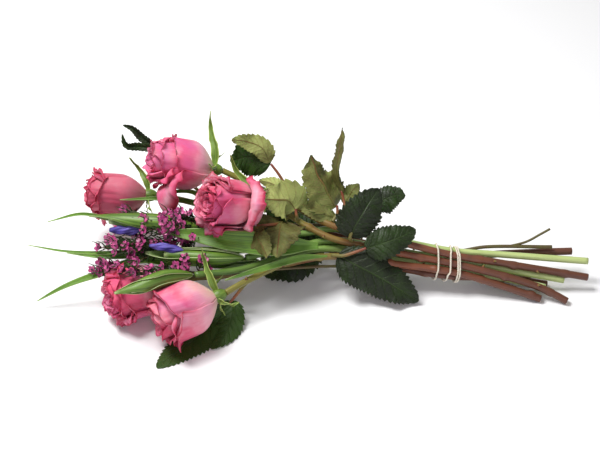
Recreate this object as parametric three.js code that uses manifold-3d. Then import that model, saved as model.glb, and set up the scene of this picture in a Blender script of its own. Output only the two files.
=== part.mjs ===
// A bunch of cut flowers lying on a table: five half-open roses, four iris buds with their
// strap leaves, three sprigs of waxflower and loose rose foliage, tied once with cotton string.
// Millimetres, +Z up, +X from the flowers to the cut ends. Each flower's stem, calyx, petals,
// bracts and leaves are separate solids, with a small gap wherever two of them touch.
import * as THREE from "three";
import { mergeVertices } from "three/addons/utils/BufferGeometryUtils.js";
import Module from "manifold-3d";

const wasm = await Module();
wasm.setup();

// ---------------------------------------------------------------- driving dimensions
const GAP = 0.35; // clearance between touching pieces
const MOST_BRUSH = 0.5; // cubic millimetres of that clearance that two pieces may share
const HIP_LENGTH = 9; // swollen receptacle under a rose's petals
const HIP_RADIUS = 5.6;
const HIP_ENDS_RADIUS = [3.2, 4.8]; // at the stem and at the petals
const BELLY = 0.62; // the share of its height at which a bloom is widest
const HEART_TOP = [[0.78, 0.78], [0.7, 0.92], [0.55, 0.97], [0.2, 0.9]]; // shares of radius, height
const PETAL_THICKNESS = 1.0;
const PETAL_TUCK = 1.3; // how far one side of an outer petal stands proud of the other
const PETAL_HALF_SPAN = 66; // degrees round the bloom
const PETAL_FLARE = 0.32; // how far a rim turns out, as a share of the bloom's radius
const RIM_DROP = 3; // how far a turned-out rim falls
const LEAF_THICKNESS = 0.9;
const WOODY_RADIUS = [3.5, 2.9]; // rose stem, at its cut end and at its neck
const SOFT_RADIUS = [3.0, 2.7]; // iris stem
const TWIG_RADIUS = [1.7, 1.1]; // waxflower stem
const STALK_RADIUS = [1.7, 1.1]; // leaf stalk
const FLOWER_TWIG_RADIUS = 0.75; // from a waxflower stem to one flower
const STRING_RADIUS = 0.8;
const STRING_SLACK = 1.1; // how far the string's straight steps stand off the stems
const STRING_TURNS_AT = [116.5, 122.5, 136.5, 138.3, 140.1]; // x at the start of each turn, and the end
const STRING_BOW = 2.2; // how far a turn bows along x
const STRING_BOW_AT = (5 * Math.PI) / 6; // the angle from +Y where it bows most
const POINTS_PER_TURN = 14;

// ---------------------------------------------------------------- the layout
// A rose's bloom: its centre, the way its axis points and its size.
const ROSES = {
  rose_1: { centre: [-169, 63, 53], heading: 187, pitch: 8, height: 58, radius: 19.5, roll: 20 },
  rose_2: { centre: [-108, 61, 89], heading: 193, pitch: 20, height: 63, radius: 22, roll: 75 },
  rose_3: { centre: [-61, 8, 86], heading: 212, pitch: 27, height: 63, radius: 22, roll: 10 },
  rose_4: {
    centre: [-144.5, -40.4, 25.7],
    heading: 208,
    pitch: 4,
    height: 56,
    radius: 22,
    roll: 50,
  },
  rose_5: { centre: [-99, -69, 31.7], heading: 205, pitch: -8, height: 60, radius: 24, roll: 95 },
};
// The long free sepals: the way each points from the hip, and its length.
const SEPALS = {
  rose_1: [
    [[-0.5, 0.5, 0.7], 36], [[0.3, 0.9, 0.3], 24], [[0.2, -0.9, -0.3], 22], [[-0.2, 0.2, -1], 20],
  ],
  rose_2: [
    [[-0.1, 0.62, 0.78], 50], [[-0.3, -0.7, 0.8], 20], [[0.3, 0.95, -0.1], 26],
    [[0.1, -0.8, -0.6], 24],
  ],
  rose_3: [
    [[-0.55, 0.5, 0.67], 50], [[0.1, -0.8, 0.5], 22], [[0.5, 0.8, 0.1], 24],
    [[0.3, -0.6, -0.7], 20],
  ],
  rose_4: [
    [[0.3, 0.5, 0.8], 20], [[0.1, 0.9, -0.3], 24], [[0.2, -0.9, 0.1], 20], [[0.4, 0, -0.9], 16],
  ],
  rose_5: [
    [[-0.3, 0.45, 0.84], 42], [[0.9, -0.45, 0.12], 20], [[0.3, 0.8, 0.3], 22],
    [[0.3, -0.3, -0.9], 16],
  ],
};
// Each stem from its cut end, through the string, to the flower it carries.
const STEMS = {
  rose_1: [
    [245, 17, 24], [180, 13, 24], [136, 7.2, 22.9], [80, 12, 31], [30, 20, 40], [-15, 38, 38],
    [-75, 58, 39], [-110, 67, 43],
  ],
  rose_2: [
    [257, -7, 14], [180, -3, 27], [136, -0.5, 34.3], [80, 7, 46], [30, 14, 56], [-15, 42, 63],
    [-50, 64, 67],
  ],
  rose_3: [
    [237, -27, 3.4], [214, -18.5, 11.5], [180, -12.5, 20.5], [136, -5.4, 28.5], [80, 0, 38.5],
    [30, 6.5, 47.5], [5, 17, 54], [-14, 27, 61],
  ],
  rose_4: [
    [222, -5, 3.5], [180, -2, 9], [136, -7.6, 15.5], [80, -2, 22], [30, 5, 28.5], [-20, -3, 24],
    [-70, -16, 23.5], [-92, -20, 25],
  ],
  rose_5: [
    [214, -24, 3.4], [175, -16, 13.5], [136, -10.2, 22.7], [80, -8, 31], [30, -4, 36],
    [-10, -13, 37.5], [-42, -36, 38.5],
  ],
  iris_1: [
    [258, 5, 22.5], [180, 6.5, 29], [136, 7, 33], [80, 14, 41], [30, 19.5, 48], [5, 15, 47],
    [-30, 8, 49], [-60, 6, 53.5], [-88, 8, 59.5],
  ],
  iris_2: [
    [236, -7.5, 11], [180, -2.4, 20], [136, 2.1, 27.2], [80, 6.5, 34.5], [30, 12, 41.5], [0, 2, 43],
    [-47, -20.5, 49.3],
  ],
  iris_3: [
    [219, -13, 7], [180, -8.2, 14.5], [136, -2.7, 21.3], [80, 1, 29], [30, 6, 36.6], [-10, -4, 39],
    [-50, -28, 42.5], [-90, -44, 50],
  ],
  iris_4: [
    [208, 5, 6.5], [180, 4.5, 12], [136, 2.3, 17.1], [80, 8, 25], [30, 13.6, 33], [-10, 2.5, 32.5],
    [-34, -8, 35],
  ],
  waxflower_1: [
    [226, 14, 31.5], [167, 13, 32.5], [136, 11.5, 28.8], [80, 19, 38], [30, 26, 46], [-30, 24, 49],
    [-88, 20, 55],
  ],
  waxflower_2: [
    [190, 4, 4.5], [136, 8.8, 16.6], [80, 13, 21.5], [30, 14, 26], [-20, 10, 32], [-70, 8, 45],
    [-118, 1, 49],
  ],
  waxflower_3: [
    [192, 0.5, 2], [160, -0.8, 7], [136, -1.9, 11.6], [80, 2.5, 17.4], [55, 0.5, 19],
    [30, -2, 22.5], [-20, -13, 29], [-60, -26, 34.5], [-104, -32, 43],
  ],
};
// An iris bud's green spathe, from its foot to its tip. The open ones show the petals inside.
// "blades" are the strap leaves that grow on its stem.
const SPATHES = {
  iris_1: {
    path: [[-90, 8, 60], [-118, 8, 64], [-152, 11, 64], [-187, 19, 62]],
    radius: 8,
    open: [0.2, -0.75, -0.6],
    blades: [
      {
        path: [[-58, 6, 53.5], [-72, 24, 57], [-90, 37, 62], [-126, 45, 62], [-162, 43.5, 62]],
        facing: [0, -0.77, 0.64],
        width: 6,
        fold: 20,
      },
      {
        path: [[-64, 6.5, 54], [-80, 26, 63], [-95, 44, 70], [-128, 46, 67]],
        facing: [0, -0.77, 0.64],
        width: 6,
        fold: 20,
      },
    ],
  },
  iris_2: {
    path: [[-49, -21.5, 49.6], [-75, -24, 52], [-105, -21, 52], [-135, -17, 52]],
    radius: 7,
    open: [-0.2, -0.1, 1],
  },
  iris_3: {
    path: [[-92, -45, 51], [-113, -54, 56], [-135, -66, 56], [-156, -72, 54]],
    radius: 6.8,
    open: null,
  },
  iris_4: {
    path: [[-36, -9, 35.3], [-50, -15, 38.5], [-66, -20, 41], [-84, -24, 41.5]],
    radius: 4.6,
    open: null,
  },
};
const IRIS_PETALS = {
  iris_1: { path: [[-136, 6.5, 60], [-151, 6, 58.5], [-168, 7, 57]], radius: 4.6 },
  iris_2: { path: [[-101, -20, 56.5], [-116, -17.5, 58], [-131, -15, 58]], radius: 3.6 },
};
// A blade has its midrib on "path", its upper face turned to "facing", its widest width, and the
// angle in degrees that each of its halves folds up. A "drop" is widest near its foot.
const STRAPS = {
  strap_leaf_1: {
    path: [
      [-20, 20, 43], [-70, 20, 46], [-125, 21, 52], [-164, 20, 57], [-194, 22, 62.5],
      [-223, 15, 60],
    ],
    facing: [0, -0.3, 1],
    width: 8,
    fold: 25,
  },
  strap_leaf_2: {
    path: [
      [-46, -3, 44], [-90, -7, 47], [-130, -8, 47], [-172, -11, 46], [-208, -9, 46.5],
      [-240, -3, 48.5],
    ],
    facing: [0, -0.4, 1],
    width: 5,
    fold: 20,
  },
  strap_leaf_3: {
    path: [[-46, 2, 36], [-90, -3, 38], [-130, -6, 40], [-172, -8, 39], [-206, -4, 40]],
    facing: [0, -0.7, 1],
    width: 8,
    fold: 20,
  },
  strap_leaf_4: {
    path: [
      [-86, -12, 32.5], [-112, -15, 38], [-140, -17, 43.5], [-168, -23, 35.5], [-204, -26, 22],
      [-232, -32, 8],
    ],
    facing: [0, -0.5, 1],
    width: 9,
    fold: 15,
  },
  strap_leaf_5: {
    path: [[16, -6, 50], [-20, -11, 56], [-57, -13, 61], [-90, -8, 64], [-116, -5, 65]],
    facing: [0, -0.7, 0.8],
    width: 24,
    fold: 14,
  },
  strap_leaf_6: {
    path: [[24, -12, 43.5], [0, -17, 45.5], [-35, -33, 46.5], [-65, -42, 42]],
    facing: [0, -1, 0.7],
    width: 7,
    fold: 10,
  },
};
const LEAVES = {
  leaf_front: {
    stalk: [[28, -6, 39.5], [38, -11, 43], [50, -10, 47], [58, -9, 50]],
    leaflets: [
      {
        path: [[33, -8.5, 41], [48, -16, 37.5], [72, -22, 26], [104.5, -28, 4]],
        facing: [0.1, -0.78, 0.62],
        width: 38,
        fold: 10,
      },
      {
        path: [[57, -9, 49.5], [72, -7, 53.5], [88, -1, 56], [102, 9, 57]],
        facing: [0, -0.65, 0.76],
        width: 28,
        fold: 12,
      },
    ],
  },
  leaf_top: {
    stalk: [[46, 2, 49], [44, 0, 54], [50, 8, 66], [66, 22, 73]],
    leaflets: [
      {
        path: [[44.5, 0, 54], [48, 3, 65], [57, 10, 79], [69, 22, 92]],
        facing: [0.1, -0.85, 0.5],
        width: 36,
        fold: 10,
      },
      {
        path: [[65, 21, 72.5], [74, 25, 77], [84, 28, 79], [93, 30, 78]],
        facing: [-0.1, -0.6, 0.8],
        width: 24,
        fold: 10,
      },
    ],
  },
  leaf_pale: {
    stalk: [[29, 16, 59.5], [33, 22, 64], [33, 27, 69]],
    leaflets: [
      {
        path: [[32.5, 26.5, 68], [23, 34.5, 79], [14.5, 41.7, 94], [9.7, 50.7, 107]],
        facing: [-0.51, 0.47, -0.72],
        width: 48,
        fold: 28,
        shape: "drop",
      },
      {
        path: [[31, 19, 61.5], [19, 21, 65], [7, 25, 69], [-6, 31, 73]],
        facing: [0.1, 0.8, -0.5],
        width: 15,
        fold: 10,
      },
    ],
  },
  leaf_upright: {
    stalk: [[43, 14, 57], [41, 24, 62], [39, 34, 69], [37, 40, 75]],
    leaflets: [
      {
        path: [[37.5, 39, 74], [33, 46, 89], [34, 52, 104], [37, 69, 123.5]],
        facing: [0.9, 0.33, -0.28],
        width: 17,
        fold: 14,
      },
      {
        path: [[40, 31, 67], [44, 36, 72], [48, 40, 77], [53, 45, 79]],
        facing: [0.3, 0.7, -0.6],
        width: 15,
        fold: 10,
      },
    ],
  },
  leaf_cupped: {
    stalk: [[-9, 38, 66], [-12, 42, 76], [-18, 49, 85], [-26, 56, 93]],
    leaflets: [
      {
        path: [[-27, 57, 94], [-34, 61, 107], [-47, 63, 112.5], [-60, 59, 118]],
        facing: [0.05, 0.66, -0.75],
        width: 18,
        fold: 14,
      },
      {
        path: [[-27, 57, 91], [-38, 60, 96], [-48, 60, 97], [-62, 54, 97]],
        facing: [0.1, -0.85, 0.5],
        width: 36,
        fold: 10,
      },
    ],
  },
  leaf_curled: {
    stalk: [[-2, 18.5, 60], [-3, 18.5, 64], [-4, 22, 69]],
    leaflets: [
      {
        path: [[-4, 21, 68.5], [-10, 24.5, 76], [-20, 21, 80], [-33, 17, 84]],
        facing: [0.1, 0.78, -0.6],
        width: 38,
        fold: 12,
        shape: "drop",
      },
      {
        path: [[-9, 24, 75], [-15, 27, 83], [-24, 31, 90], [-36, 34, 92]],
        facing: [0.1, 0.7, -0.7],
        width: 17,
        fold: 32,
      },
    ],
  },
  leaf_hanging: {
    stalk: [[-11, 20, 60.5], [-17, 9.5, 63], [-23, 2.5, 67.5], [-30, 0, 69], [-38, -3, 69.5]],
    leaflets: [
      {
        path: [[-15, 12.5, 62.5], [-17, 1, 68], [-18.5, -14, 66], [-20, -30, 57]],
        facing: [0.1, 0.75, -0.65],
        width: 44,
        fold: 12,
        shape: "drop",
      },
      {
        path: [[-38, -3, 69.5], [-38, -11, 67], [-33, -19, 63], [-28.5, -31, 57]],
        facing: [0.6, 0.6, -0.5],
        width: 26,
        fold: 22,
        shape: "drop",
      },
    ],
  },
  leaf_under: {
    stalk: [[-46, -36, 35], [-52, -37, 26], [-62, -43, 15]],
    leaflets: [
      {
        path: [[-60, -42, 16], [-76, -56, 4.5], [-98, -80, 1.2], [-121, -107, 0.8]],
        facing: [0, 0, 1],
        width: 36,
        fold: 3,
      },
      {
        path: [[-58, -41, 17], [-59, -54, 10], [-65, -70, 4], [-76, -85, 1.5]],
        facing: [0.1, -0.1, 1],
        width: 22,
        fold: 4,
      },
    ],
  },
  leaf_far: {
    stalk: [[-84, 64.5, 44.5], [-104, 78, 58], [-122, 85, 80], [-132, 88, 88]],
    leaflets: [
      {
        path: [[-131, 87.5, 87.5], [-143, 92, 95], [-152, 95.5, 103], [-161, 97, 106]],
        facing: [-0.2, -0.8, 0.6],
        width: 9,
        fold: 35,
      },
      {
        path: [[-129, 87, 86], [-146, 87, 89], [-157, 82.5, 94], [-161, 87.5, 103]],
        facing: [-0.2, -0.8, 0.6],
        width: 9,
        fold: 35,
      },
    ],
  },
  leaf_back_1: {
    stalk: [[-42, 51, 39], [-46, 62, 33], [-52, 74, 22]],
    leaflets: [
      {
        path: [[-51, 72, 23], [-54, 82, 14], [-58, 95, 6], [-62, 110, 0.6]],
        facing: [0, 0.5, 0.87],
        width: 34,
        fold: 8,
      },
    ],
  },
  leaf_back_2: {
    stalk: [[10, 31, 38.5], [6, 42, 33], [2, 52, 22]],
    leaflets: [
      {
        path: [[3, 50, 23], [0, 60, 14], [-4, 72, 6], [-8, 86, 0.6]],
        facing: [0, 0.5, 0.87],
        width: 30,
        fold: 8,
      },
      {
        path: [[6, 42, 32], [2, 28, 20], [-12, 14, 13], [-40, 2, 9]],
        facing: [0, -0.3, 0.95],
        width: 40,
        fold: 5,
      },
      {
        path: [[8, 37, 36], [-4, 47, 40], [-18, 53, 42], [-36, 57, 44]],
        facing: [0, -0.77, 0.64],
        width: 24,
        fold: 10,
      },
      {
        path: [[7, 39, 34], [18, 37, 32], [29, 33, 31], [42, 27, 31]],
        facing: [0, -0.77, 0.64],
        width: 26,
        fold: 10,
      },
    ],
  },
};
// Where each waxflower of a sprig opens.
const WAXFLOWERS = {
  waxflower_1: [
    [-105, 11, 75], [-108, 3, 74], [-118, 1, 74], [-112, -3, 68], [-109, -6, 66], [-120, -3, 65],
    [-158, 37, 57], [-160, 32, 50],
  ],
  waxflower_2: [
    [-169, 2, 52], [-164, -3, 54], [-141, 3, 50], [-152, -14, 57], [-149, -19, 53], [-138, -14, 61],
    [-141, -28, 51], [-146, -24, 49], [-112, -5, 51], [-102, 0, 48],
  ],
  waxflower_3: [
    [-174, -18, 41], [-175, -25, 36], [-167, -27, 43], [-160, -28, 47], [-152, -44, 56],
    [-141, -50, 59], [-129, -42, 56], [-118, -37, 53], [-107, -33, 50], [-98, -34, 54],
    [-84, -32, 57], [-80, -32, 46],
  ],
};
// The side twigs near the cut ends.
const SPURS = {
  waxflower_1: [[[186, 13.5, 32.3], [203, 16, 36], [215, 20, 41], [224, 23, 45]]],
};
const COLOURS = {
  petal: 0xe0567f,
  sepal: 0x7f9a3c,
  woody_stem: 0x6b3a2c,
  soft_stem: 0x9cba63,
  spathe: 0x6f9440,
  iris_petal: 0x4a3aa0,
  strap: 0x4f7a3a,
  leaf: 0x2f4a22,
  waxflower: 0xb83a86,
  string: 0xe9e2cf,
};

// ---------------------------------------------------------------- vectors and curves
const vec = (p) => new THREE.Vector3(...p);
const curveThrough = (points) => new THREE.CatmullRomCurve3(points.map(vec), false, "centripetal");
const mix = (a, b, t) => a + (b - a) * t;
const smooth = (low, high, x) => THREE.MathUtils.smoothstep(x, low, high);
const radians = THREE.MathUtils.degToRad;
// A radius that runs evenly from one end's to the other's.
const taper = ([first, last]) => (t) => mix(first, last, t);

function axisOf(rose) {
  const [h, p] = [radians(rose.heading), radians(rose.pitch)];
  return new THREE.Vector3(Math.cos(p) * Math.cos(h), Math.cos(p) * Math.sin(h), Math.sin(p));
}

// The matrix from a rose's own frame, with +Z along its axis from the foot of its petals, to the bunch.
function bloomFrame(rose) {
  const axis = axisOf(rose);
  const side = new THREE.Vector3(-axis.y, axis.x, 0).normalize();
  const up = new THREE.Vector3().crossVectors(axis, side);
  const foot = vec(rose.centre).addScaledVector(axis, -rose.height / 2);
  const turned = new THREE.Matrix4().makeBasis(side, up, axis).multiply(
    new THREE.Matrix4().makeRotationZ(radians(rose.roll)),
  );
  return turned.setPosition(foot);
}

// ---------------------------------------------------------------- closed surfaces
function geometryOf(points, faces) {
  const geometry = new THREE.BufferGeometry();
  const coordinates = points.flatMap((p) => [p.x, p.y, p.z]);
  geometry.setAttribute("position", new THREE.Float32BufferAttribute(coordinates, 3));
  geometry.setIndex(faces);
  return geometry;
}

// Rings of points in order along a piece, closed by a fan at each end.
function loft(rings) {
  const n = rings[0].length;
  const middle = (ring) => ring.reduce((sum, p) => sum.add(p), new THREE.Vector3()).divideScalar(n);
  const points = [...rings.flat(), middle(rings[0]), middle(rings.at(-1))];
  const [first, last] = [points.length - 2, points.length - 1];
  const top = (rings.length - 1) * n;
  const faces = [];
  for (let i = 0; i < n; i++) {
    const j = (i + 1) % n;
    faces.push(first, j, i, last, top + i, top + j);
    for (let k = 0; k < top; k += n) faces.push(k + i, k + j, k + n + j, k + i, k + n + j, k + n + i);
  }
  return geometryOf(points, faces);
}

// A body of revolution about +Z, from its profile of [radius, height].
function turnedBody(profile, sides) {
  return loft(profile.map(([r, z]) => {
    const ring = [];
    for (let i = 0; i < sides; i++) {
      const angle = (2 * Math.PI * i) / sides;
      ring.push(new THREE.Vector3(r * Math.cos(angle), r * Math.sin(angle), z));
    }
    return ring;
  }));
}

// A sheet given by at(a, b), a from -1 to 1 and b from 0 to 1, thickened along its own normals.
function slab(at, across, along, thickness) {
  const grid = [];
  for (let j = 0; j <= along; j++) {
    for (let i = 0; i <= across; i++) grid.push(at((2 * i) / across - 1, j / along));
  }
  const row = across + 1;
  const sheetFaces = [];
  for (let j = 0; j < along; j++) {
    for (let i = 0; i < across; i++) {
      const k = j * row + i;
      sheetFaces.push(k, k + 1, k + row + 1, k, k + row + 1, k + row);
    }
  }
  const sheet = geometryOf(grid, sheetFaces);
  sheet.computeVertexNormals();
  const normal = (i) => new THREE.Vector3().fromBufferAttribute(sheet.getAttribute("normal"), i);
  const points = [
    ...grid.map((p, i) => p.clone().addScaledVector(normal(i), thickness / 2)),
    ...grid.map((p, i) => p.clone().addScaledVector(normal(i), -thickness / 2)),
  ];
  const under = grid.length;
  const faces = [...sheetFaces];
  for (let k = 0; k < sheetFaces.length; k += 3) {
    faces.push(under + sheetFaces[k], under + sheetFaces[k + 2], under + sheetFaces[k + 1]);
  }
  const wall = (p, q) => faces.push(p, under + p, under + q, p, under + q, q);
  for (let i = 0; i < across; i++) {
    wall(i, i + 1);
    wall(along * row + i + 1, along * row + i);
  }
  for (let j = 0; j < along; j++) {
    wall((j + 1) * row, j * row);
    wall(j * row + across, (j + 1) * row + across);
  }
  return geometryOf(points, faces);
}

// A round bar along a curve; radiusAt(t) is its radius at t from 0 to 1.
function bar(curve, radiusAt, sides, steps) {
  const frames = curve.computeFrenetFrames(steps, false);
  const rings = [];
  for (let k = 0; k <= steps; k++) {
    const centre = curve.getPointAt(k / steps);
    const r = radiusAt(k / steps);
    const ring = [];
    for (let i = 0; i < sides; i++) {
      const angle = (2 * Math.PI * i) / sides;
      ring.push(
        centre.clone()
          .addScaledVector(frames.normals[k], r * Math.cos(angle))
          .addScaledVector(frames.binormals[k], r * Math.sin(angle)),
      );
    }
    rings.push(ring);
  }
  return loft(rings);
}

// ---------------------------------------------------------------- solids
function solidOf(geometry) {
  const merged = mergeVertices(geometry, 1e-3);
  return new wasm.Manifold(new wasm.Mesh({
    numProp: 3,
    vertProperties: merged.getAttribute("position").array,
    triVerts: new Uint32Array(merged.index.array),
  }));
}

function geometryFrom(solid) {
  const mesh = solid.getMesh();
  const positions = [];
  for (let i = 0; i < mesh.numVert; i++) {
    positions.push(...mesh.vertProperties.subarray(i * mesh.numProp, i * mesh.numProp + 3));
  }
  const geometry = new THREE.BufferGeometry();
  geometry.setAttribute("position", new THREE.Float32BufferAttribute(positions, 3));
  geometry.setIndex([...mesh.triVerts]);
  return geometry;
}

// The same surface pushed outwards along its normals.
function swollen(geometry, by) {
  const grown = mergeVertices(geometry, 1e-3);
  grown.computeVertexNormals();
  const [p, n] = [grown.getAttribute("position"), grown.getAttribute("normal")];
  for (let i = 0; i < p.count; i++) {
    p.setXYZ(i, p.getX(i) + by * n.getX(i), p.getY(i) + by * n.getY(i), p.getZ(i) + by * n.getZ(i));
  }
  return grown;
}

const joined = (geometries) => geometries.map(solidOf).reduce((all, solid) => all.add(solid));

// ---------------------------------------------------------------- roses
// The outline of a closed bloom: its radius at a share of its height.
function bloomRadius(rose, share) {
  const swell = Math.pow(Math.sin((Math.min(1, share / BELLY) * Math.PI) / 2), 0.9);
  const past = Math.max(0, share - BELLY) / (1 - BELLY);
  return rose.radius * (0.16 + 0.84 * swell - 0.1 * past * past);
}

const OUTER_PETALS = [
  { turn: 0, top: 0.84 },
  { turn: 120, top: 0.8 },
  { turn: 240, top: 0.76 },
];

function outerPetal(rose, petal) {
  const at = (a, b) => {
    const share = b * petal.top * (1 - 0.2 * Math.pow(Math.abs(a), 2.4));
    const turned = smooth(0.6, 1, share);
    const radius = bloomRadius(rose, share) - PETAL_THICKNESS / 2 + PETAL_TUCK * a
      + PETAL_FLARE * rose.radius * turned;
    const angle = radians(petal.turn + PETAL_HALF_SPAN * a * (0.45 + 0.55 * smooth(0, 0.5, b)));
    const height = share * rose.height - RIM_DROP * turned;
    return new THREE.Vector3(radius * Math.cos(angle), radius * Math.sin(angle), height);
  };
  return slab(at, 6, 5, PETAL_THICKNESS).applyMatrix4(bloomFrame(rose));
}

// The folded inner petals, as one closed heart.
function heart(rose) {
  const inset = PETAL_THICKNESS + PETAL_TUCK + GAP + 0.5;
  const profile = [];
  for (const share of [0.02, 0.12, 0.28, 0.45, BELLY]) {
    profile.push([Math.max(1.5, bloomRadius(rose, share) - inset), share * rose.height]);
  }
  for (const [radius, share] of HEART_TOP) profile.push([radius * rose.radius, share * rose.height]);
  return turnedBody(profile, 10).applyMatrix4(bloomFrame(rose));
}

function sepal(rose, [direction, length]) {
  const axis = axisOf(rose);
  const foot = vec(rose.centre).addScaledVector(axis, -rose.height / 2 - 3);
  const way = vec(direction).normalize();
  const outward = way.clone().addScaledVector(axis, -way.dot(axis)).normalize();
  const path = new THREE.QuadraticBezierCurve3(
    foot.clone().addScaledVector(outward, 3),
    foot.clone().addScaledVector(outward, 3 + 0.35 * length),
    foot.clone().addScaledVector(outward, 3).addScaledVector(way, length),
  );
  return blade(path, axis, 0.16 * length + 2, 20, "sepal", 2, 4);
}

function calyx(name, rose) {
  const hip = turnedBody(
    [
      [HIP_ENDS_RADIUS[0], -HIP_LENGTH],
      [HIP_ENDS_RADIUS[1], -0.67 * HIP_LENGTH],
      [HIP_RADIUS, -0.29 * HIP_LENGTH],
      [HIP_ENDS_RADIUS[1], -2 * GAP],
    ],
    8,
  ).applyMatrix4(bloomFrame(rose));
  return joined([hip, ...SEPALS[name].map((s) => sepal(rose, s))]);
}

// ---------------------------------------------------------------- leaves
// Half the width of a blade at t from its foot to its tip, as a share of its widest.
const HALF_WIDTH = {
  drop: (t) => 0.06 + 2.03 * Math.pow(t, 0.35) * (1 - t),
  leaflet: (t) => 0.06 + 2.08 * Math.pow(t, 0.45) * Math.pow(1 - t, 0.75),
  strap: (t) => 0.12 + 0.88 * Math.pow(1 - t * t, 0.7) * (0.25 + 0.75 * smooth(0, 0.3, t)),
  sepal: (t) => 0.08 + 0.92 * Math.pow(1 - t, 0.8) * (0.6 + 0.4 * smooth(0, 0.25, t)),
};

function blade(curve, facing, width, fold, shape, across, along) {
  const tilt = radians(fold);
  const at = (a, b) => {
    const way = curve.getTangentAt(b);
    const side = new THREE.Vector3().crossVectors(way, facing).normalize();
    const upper = new THREE.Vector3().crossVectors(side, way);
    const half = (width / 2) * HALF_WIDTH[shape](b);
    return curve.getPointAt(b)
      .addScaledVector(side, -a * half * Math.cos(tilt))
      .addScaledVector(upper, Math.abs(a) * half * Math.sin(tilt));
  };
  return slab(at, across, along, LEAF_THICKNESS);
}

function roseLeaf(leaf) {
  const stalk = bar(curveThrough(leaf.stalk), taper(STALK_RADIUS), 5, 4);
  const leaflets = leaf.leaflets.map((l) =>
    blade(curveThrough(l.path), vec(l.facing), l.width, l.fold, l.shape ?? "leaflet", 2, 7));
  return joined([stalk, ...leaflets]);
}

const strapLeaf = (s) => blade(curveThrough(s.path), vec(s.facing), s.width, s.fold, "strap", 2, 10);

// ---------------------------------------------------------------- iris buds
const spindle = (t, blunt) => 0.12 + 0.88 * Math.pow(Math.sin(Math.PI * Math.pow(t, 0.8) * blunt), 0.75);

function spathe(bud) {
  const curve = curveThrough(bud.path);
  if (!bud.open) return bar(curve, (t) => bud.radius * spindle(t, 0.985), 8, 8);
  // An open spathe is a trough round the petals, with its slit towards "open".
  const slit = vec(bud.open);
  const at = (a, b) => {
    const way = curve.getTangentAt(b);
    const side = new THREE.Vector3().crossVectors(way, slit).normalize();
    const back = new THREE.Vector3().crossVectors(way, side);
    const half = radians(mix(165, 95, smooth(0.2, 0.6, b))) * a;
    const r = bud.radius * spindle(b, 0.985);
    return curve.getPointAt(b)
      .addScaledVector(side, r * Math.sin(half))
      .addScaledVector(back, r * Math.cos(half));
  };
  return slab(at, 8, 7, LEAF_THICKNESS);
}

const irisPetals = (p) => bar(curveThrough(p.path), (t) => p.radius * spindle(t, 0.9), 7, 5);

// ---------------------------------------------------------------- stems and sprigs
function stemCurve(name) {
  const route = STEMS[name].map(vec);
  const rose = ROSES[name];
  if (rose) {
    const neck = -rose.height / 2 - HIP_LENGTH - GAP;
    route.push(vec(rose.centre).addScaledVector(axisOf(rose), neck));
  }
  return new THREE.CatmullRomCurve3(route, false, "centripetal");
}

function waxflower(centre, foot) {
  const away = centre.clone().sub(foot).normalize();
  const turn = new THREE.Quaternion().setFromUnitVectors(new THREE.Vector3(0, 0, 1), away);
  return turnedBody([[1.1, -1.8], [3.9, 1.8]], 5)
    .applyQuaternion(turn)
    .translate(centre.x, centre.y, centre.z);
}

// A sprig's stem, with a twig to each flower from the first joint that is near enough to it.
function sprig(name) {
  const curve = stemCurve(name);
  const pieces = [bar(curve, taper(TWIG_RADIUS), 5, 14)];
  for (const spur of SPURS[name] ?? []) pieces.push(bar(curveThrough(spur), () => TWIG_RADIUS[1], 5, 4));
  for (const place of WAXFLOWERS[name]) {
    const flower = vec(place);
    let root = curve.getPointAt(1);
    for (const t of [0.84, 0.88, 0.92, 0.96]) {
      const p = curve.getPointAt(t);
      if (p.distanceTo(flower) < root.distanceTo(flower) + 6) {
        root = p;
        break;
      }
    }
    const bend = root.clone().lerp(flower, 0.5).add(new THREE.Vector3(-3, 0, -2));
    const twig = new THREE.QuadraticBezierCurve3(root, bend, flower);
    pieces.push(bar(twig, () => FLOWER_TWIG_RADIUS, 3, 2), waxflower(flower, bend));
  }
  return joined(pieces);
}

// ---------------------------------------------------------------- string
// The stems that cross the plane at x, as circles.
function circlesAt(x) {
  return Object.keys(STEMS).map((name) => {
    const curve = stemCurve(name);
    let [low, high] = [0, 1];
    for (let k = 0; k < 24; k++) {
      const t = (low + high) / 2;
      if (curve.getPointAt(t).x > x) low = t;
      else high = t;
    }
    const p = curve.getPointAt(low);
    const radii = ROSES[name] ? WOODY_RADIUS : name.startsWith("iris") ? SOFT_RADIUS : TWIG_RADIUS;
    return { y: p.y, z: p.z, r: taper(radii)(low) };
  });
}

// A point of the tight loop round those circles, at an angle from +Y.
function loopPoint(circles, angle, x) {
  const reach = (a) => Math.max(...circles.map((c) => c.y * Math.cos(a) + c.z * Math.sin(a) + c.r))
    + STRING_RADIUS + STRING_SLACK;
  const d = 0.02;
  const [h, slope] = [reach(angle), (reach(angle + d) - reach(angle - d)) / (2 * d)];
  return new THREE.Vector3(
    x,
    h * Math.cos(angle) - slope * Math.sin(angle),
    h * Math.sin(angle) + slope * Math.cos(angle),
  );
}

// Four turns: two apart and two side by side, each bowed towards the cut ends on its upper side.
function string() {
  const turns = STRING_TURNS_AT.length - 1;
  const points = [];
  for (let k = 0; k <= turns * POINTS_PER_TURN; k++) {
    const turn = k / POINTS_PER_TURN;
    const i = Math.min(turns - 1, Math.floor(turn));
    const bow = STRING_BOW * Math.cos(-2 * Math.PI * turn - STRING_BOW_AT);
    const x = mix(STRING_TURNS_AT[i], STRING_TURNS_AT[i + 1], turn - i) + bow;
    points.push(loopPoint(circlesAt(x), -2 * Math.PI * turn, x));
  }
  const route = new THREE.CatmullRomCurve3(points, false, "centripetal");
  return bar(route, () => STRING_RADIUS, 5, turns * POINTS_PER_TURN);
}

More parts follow.
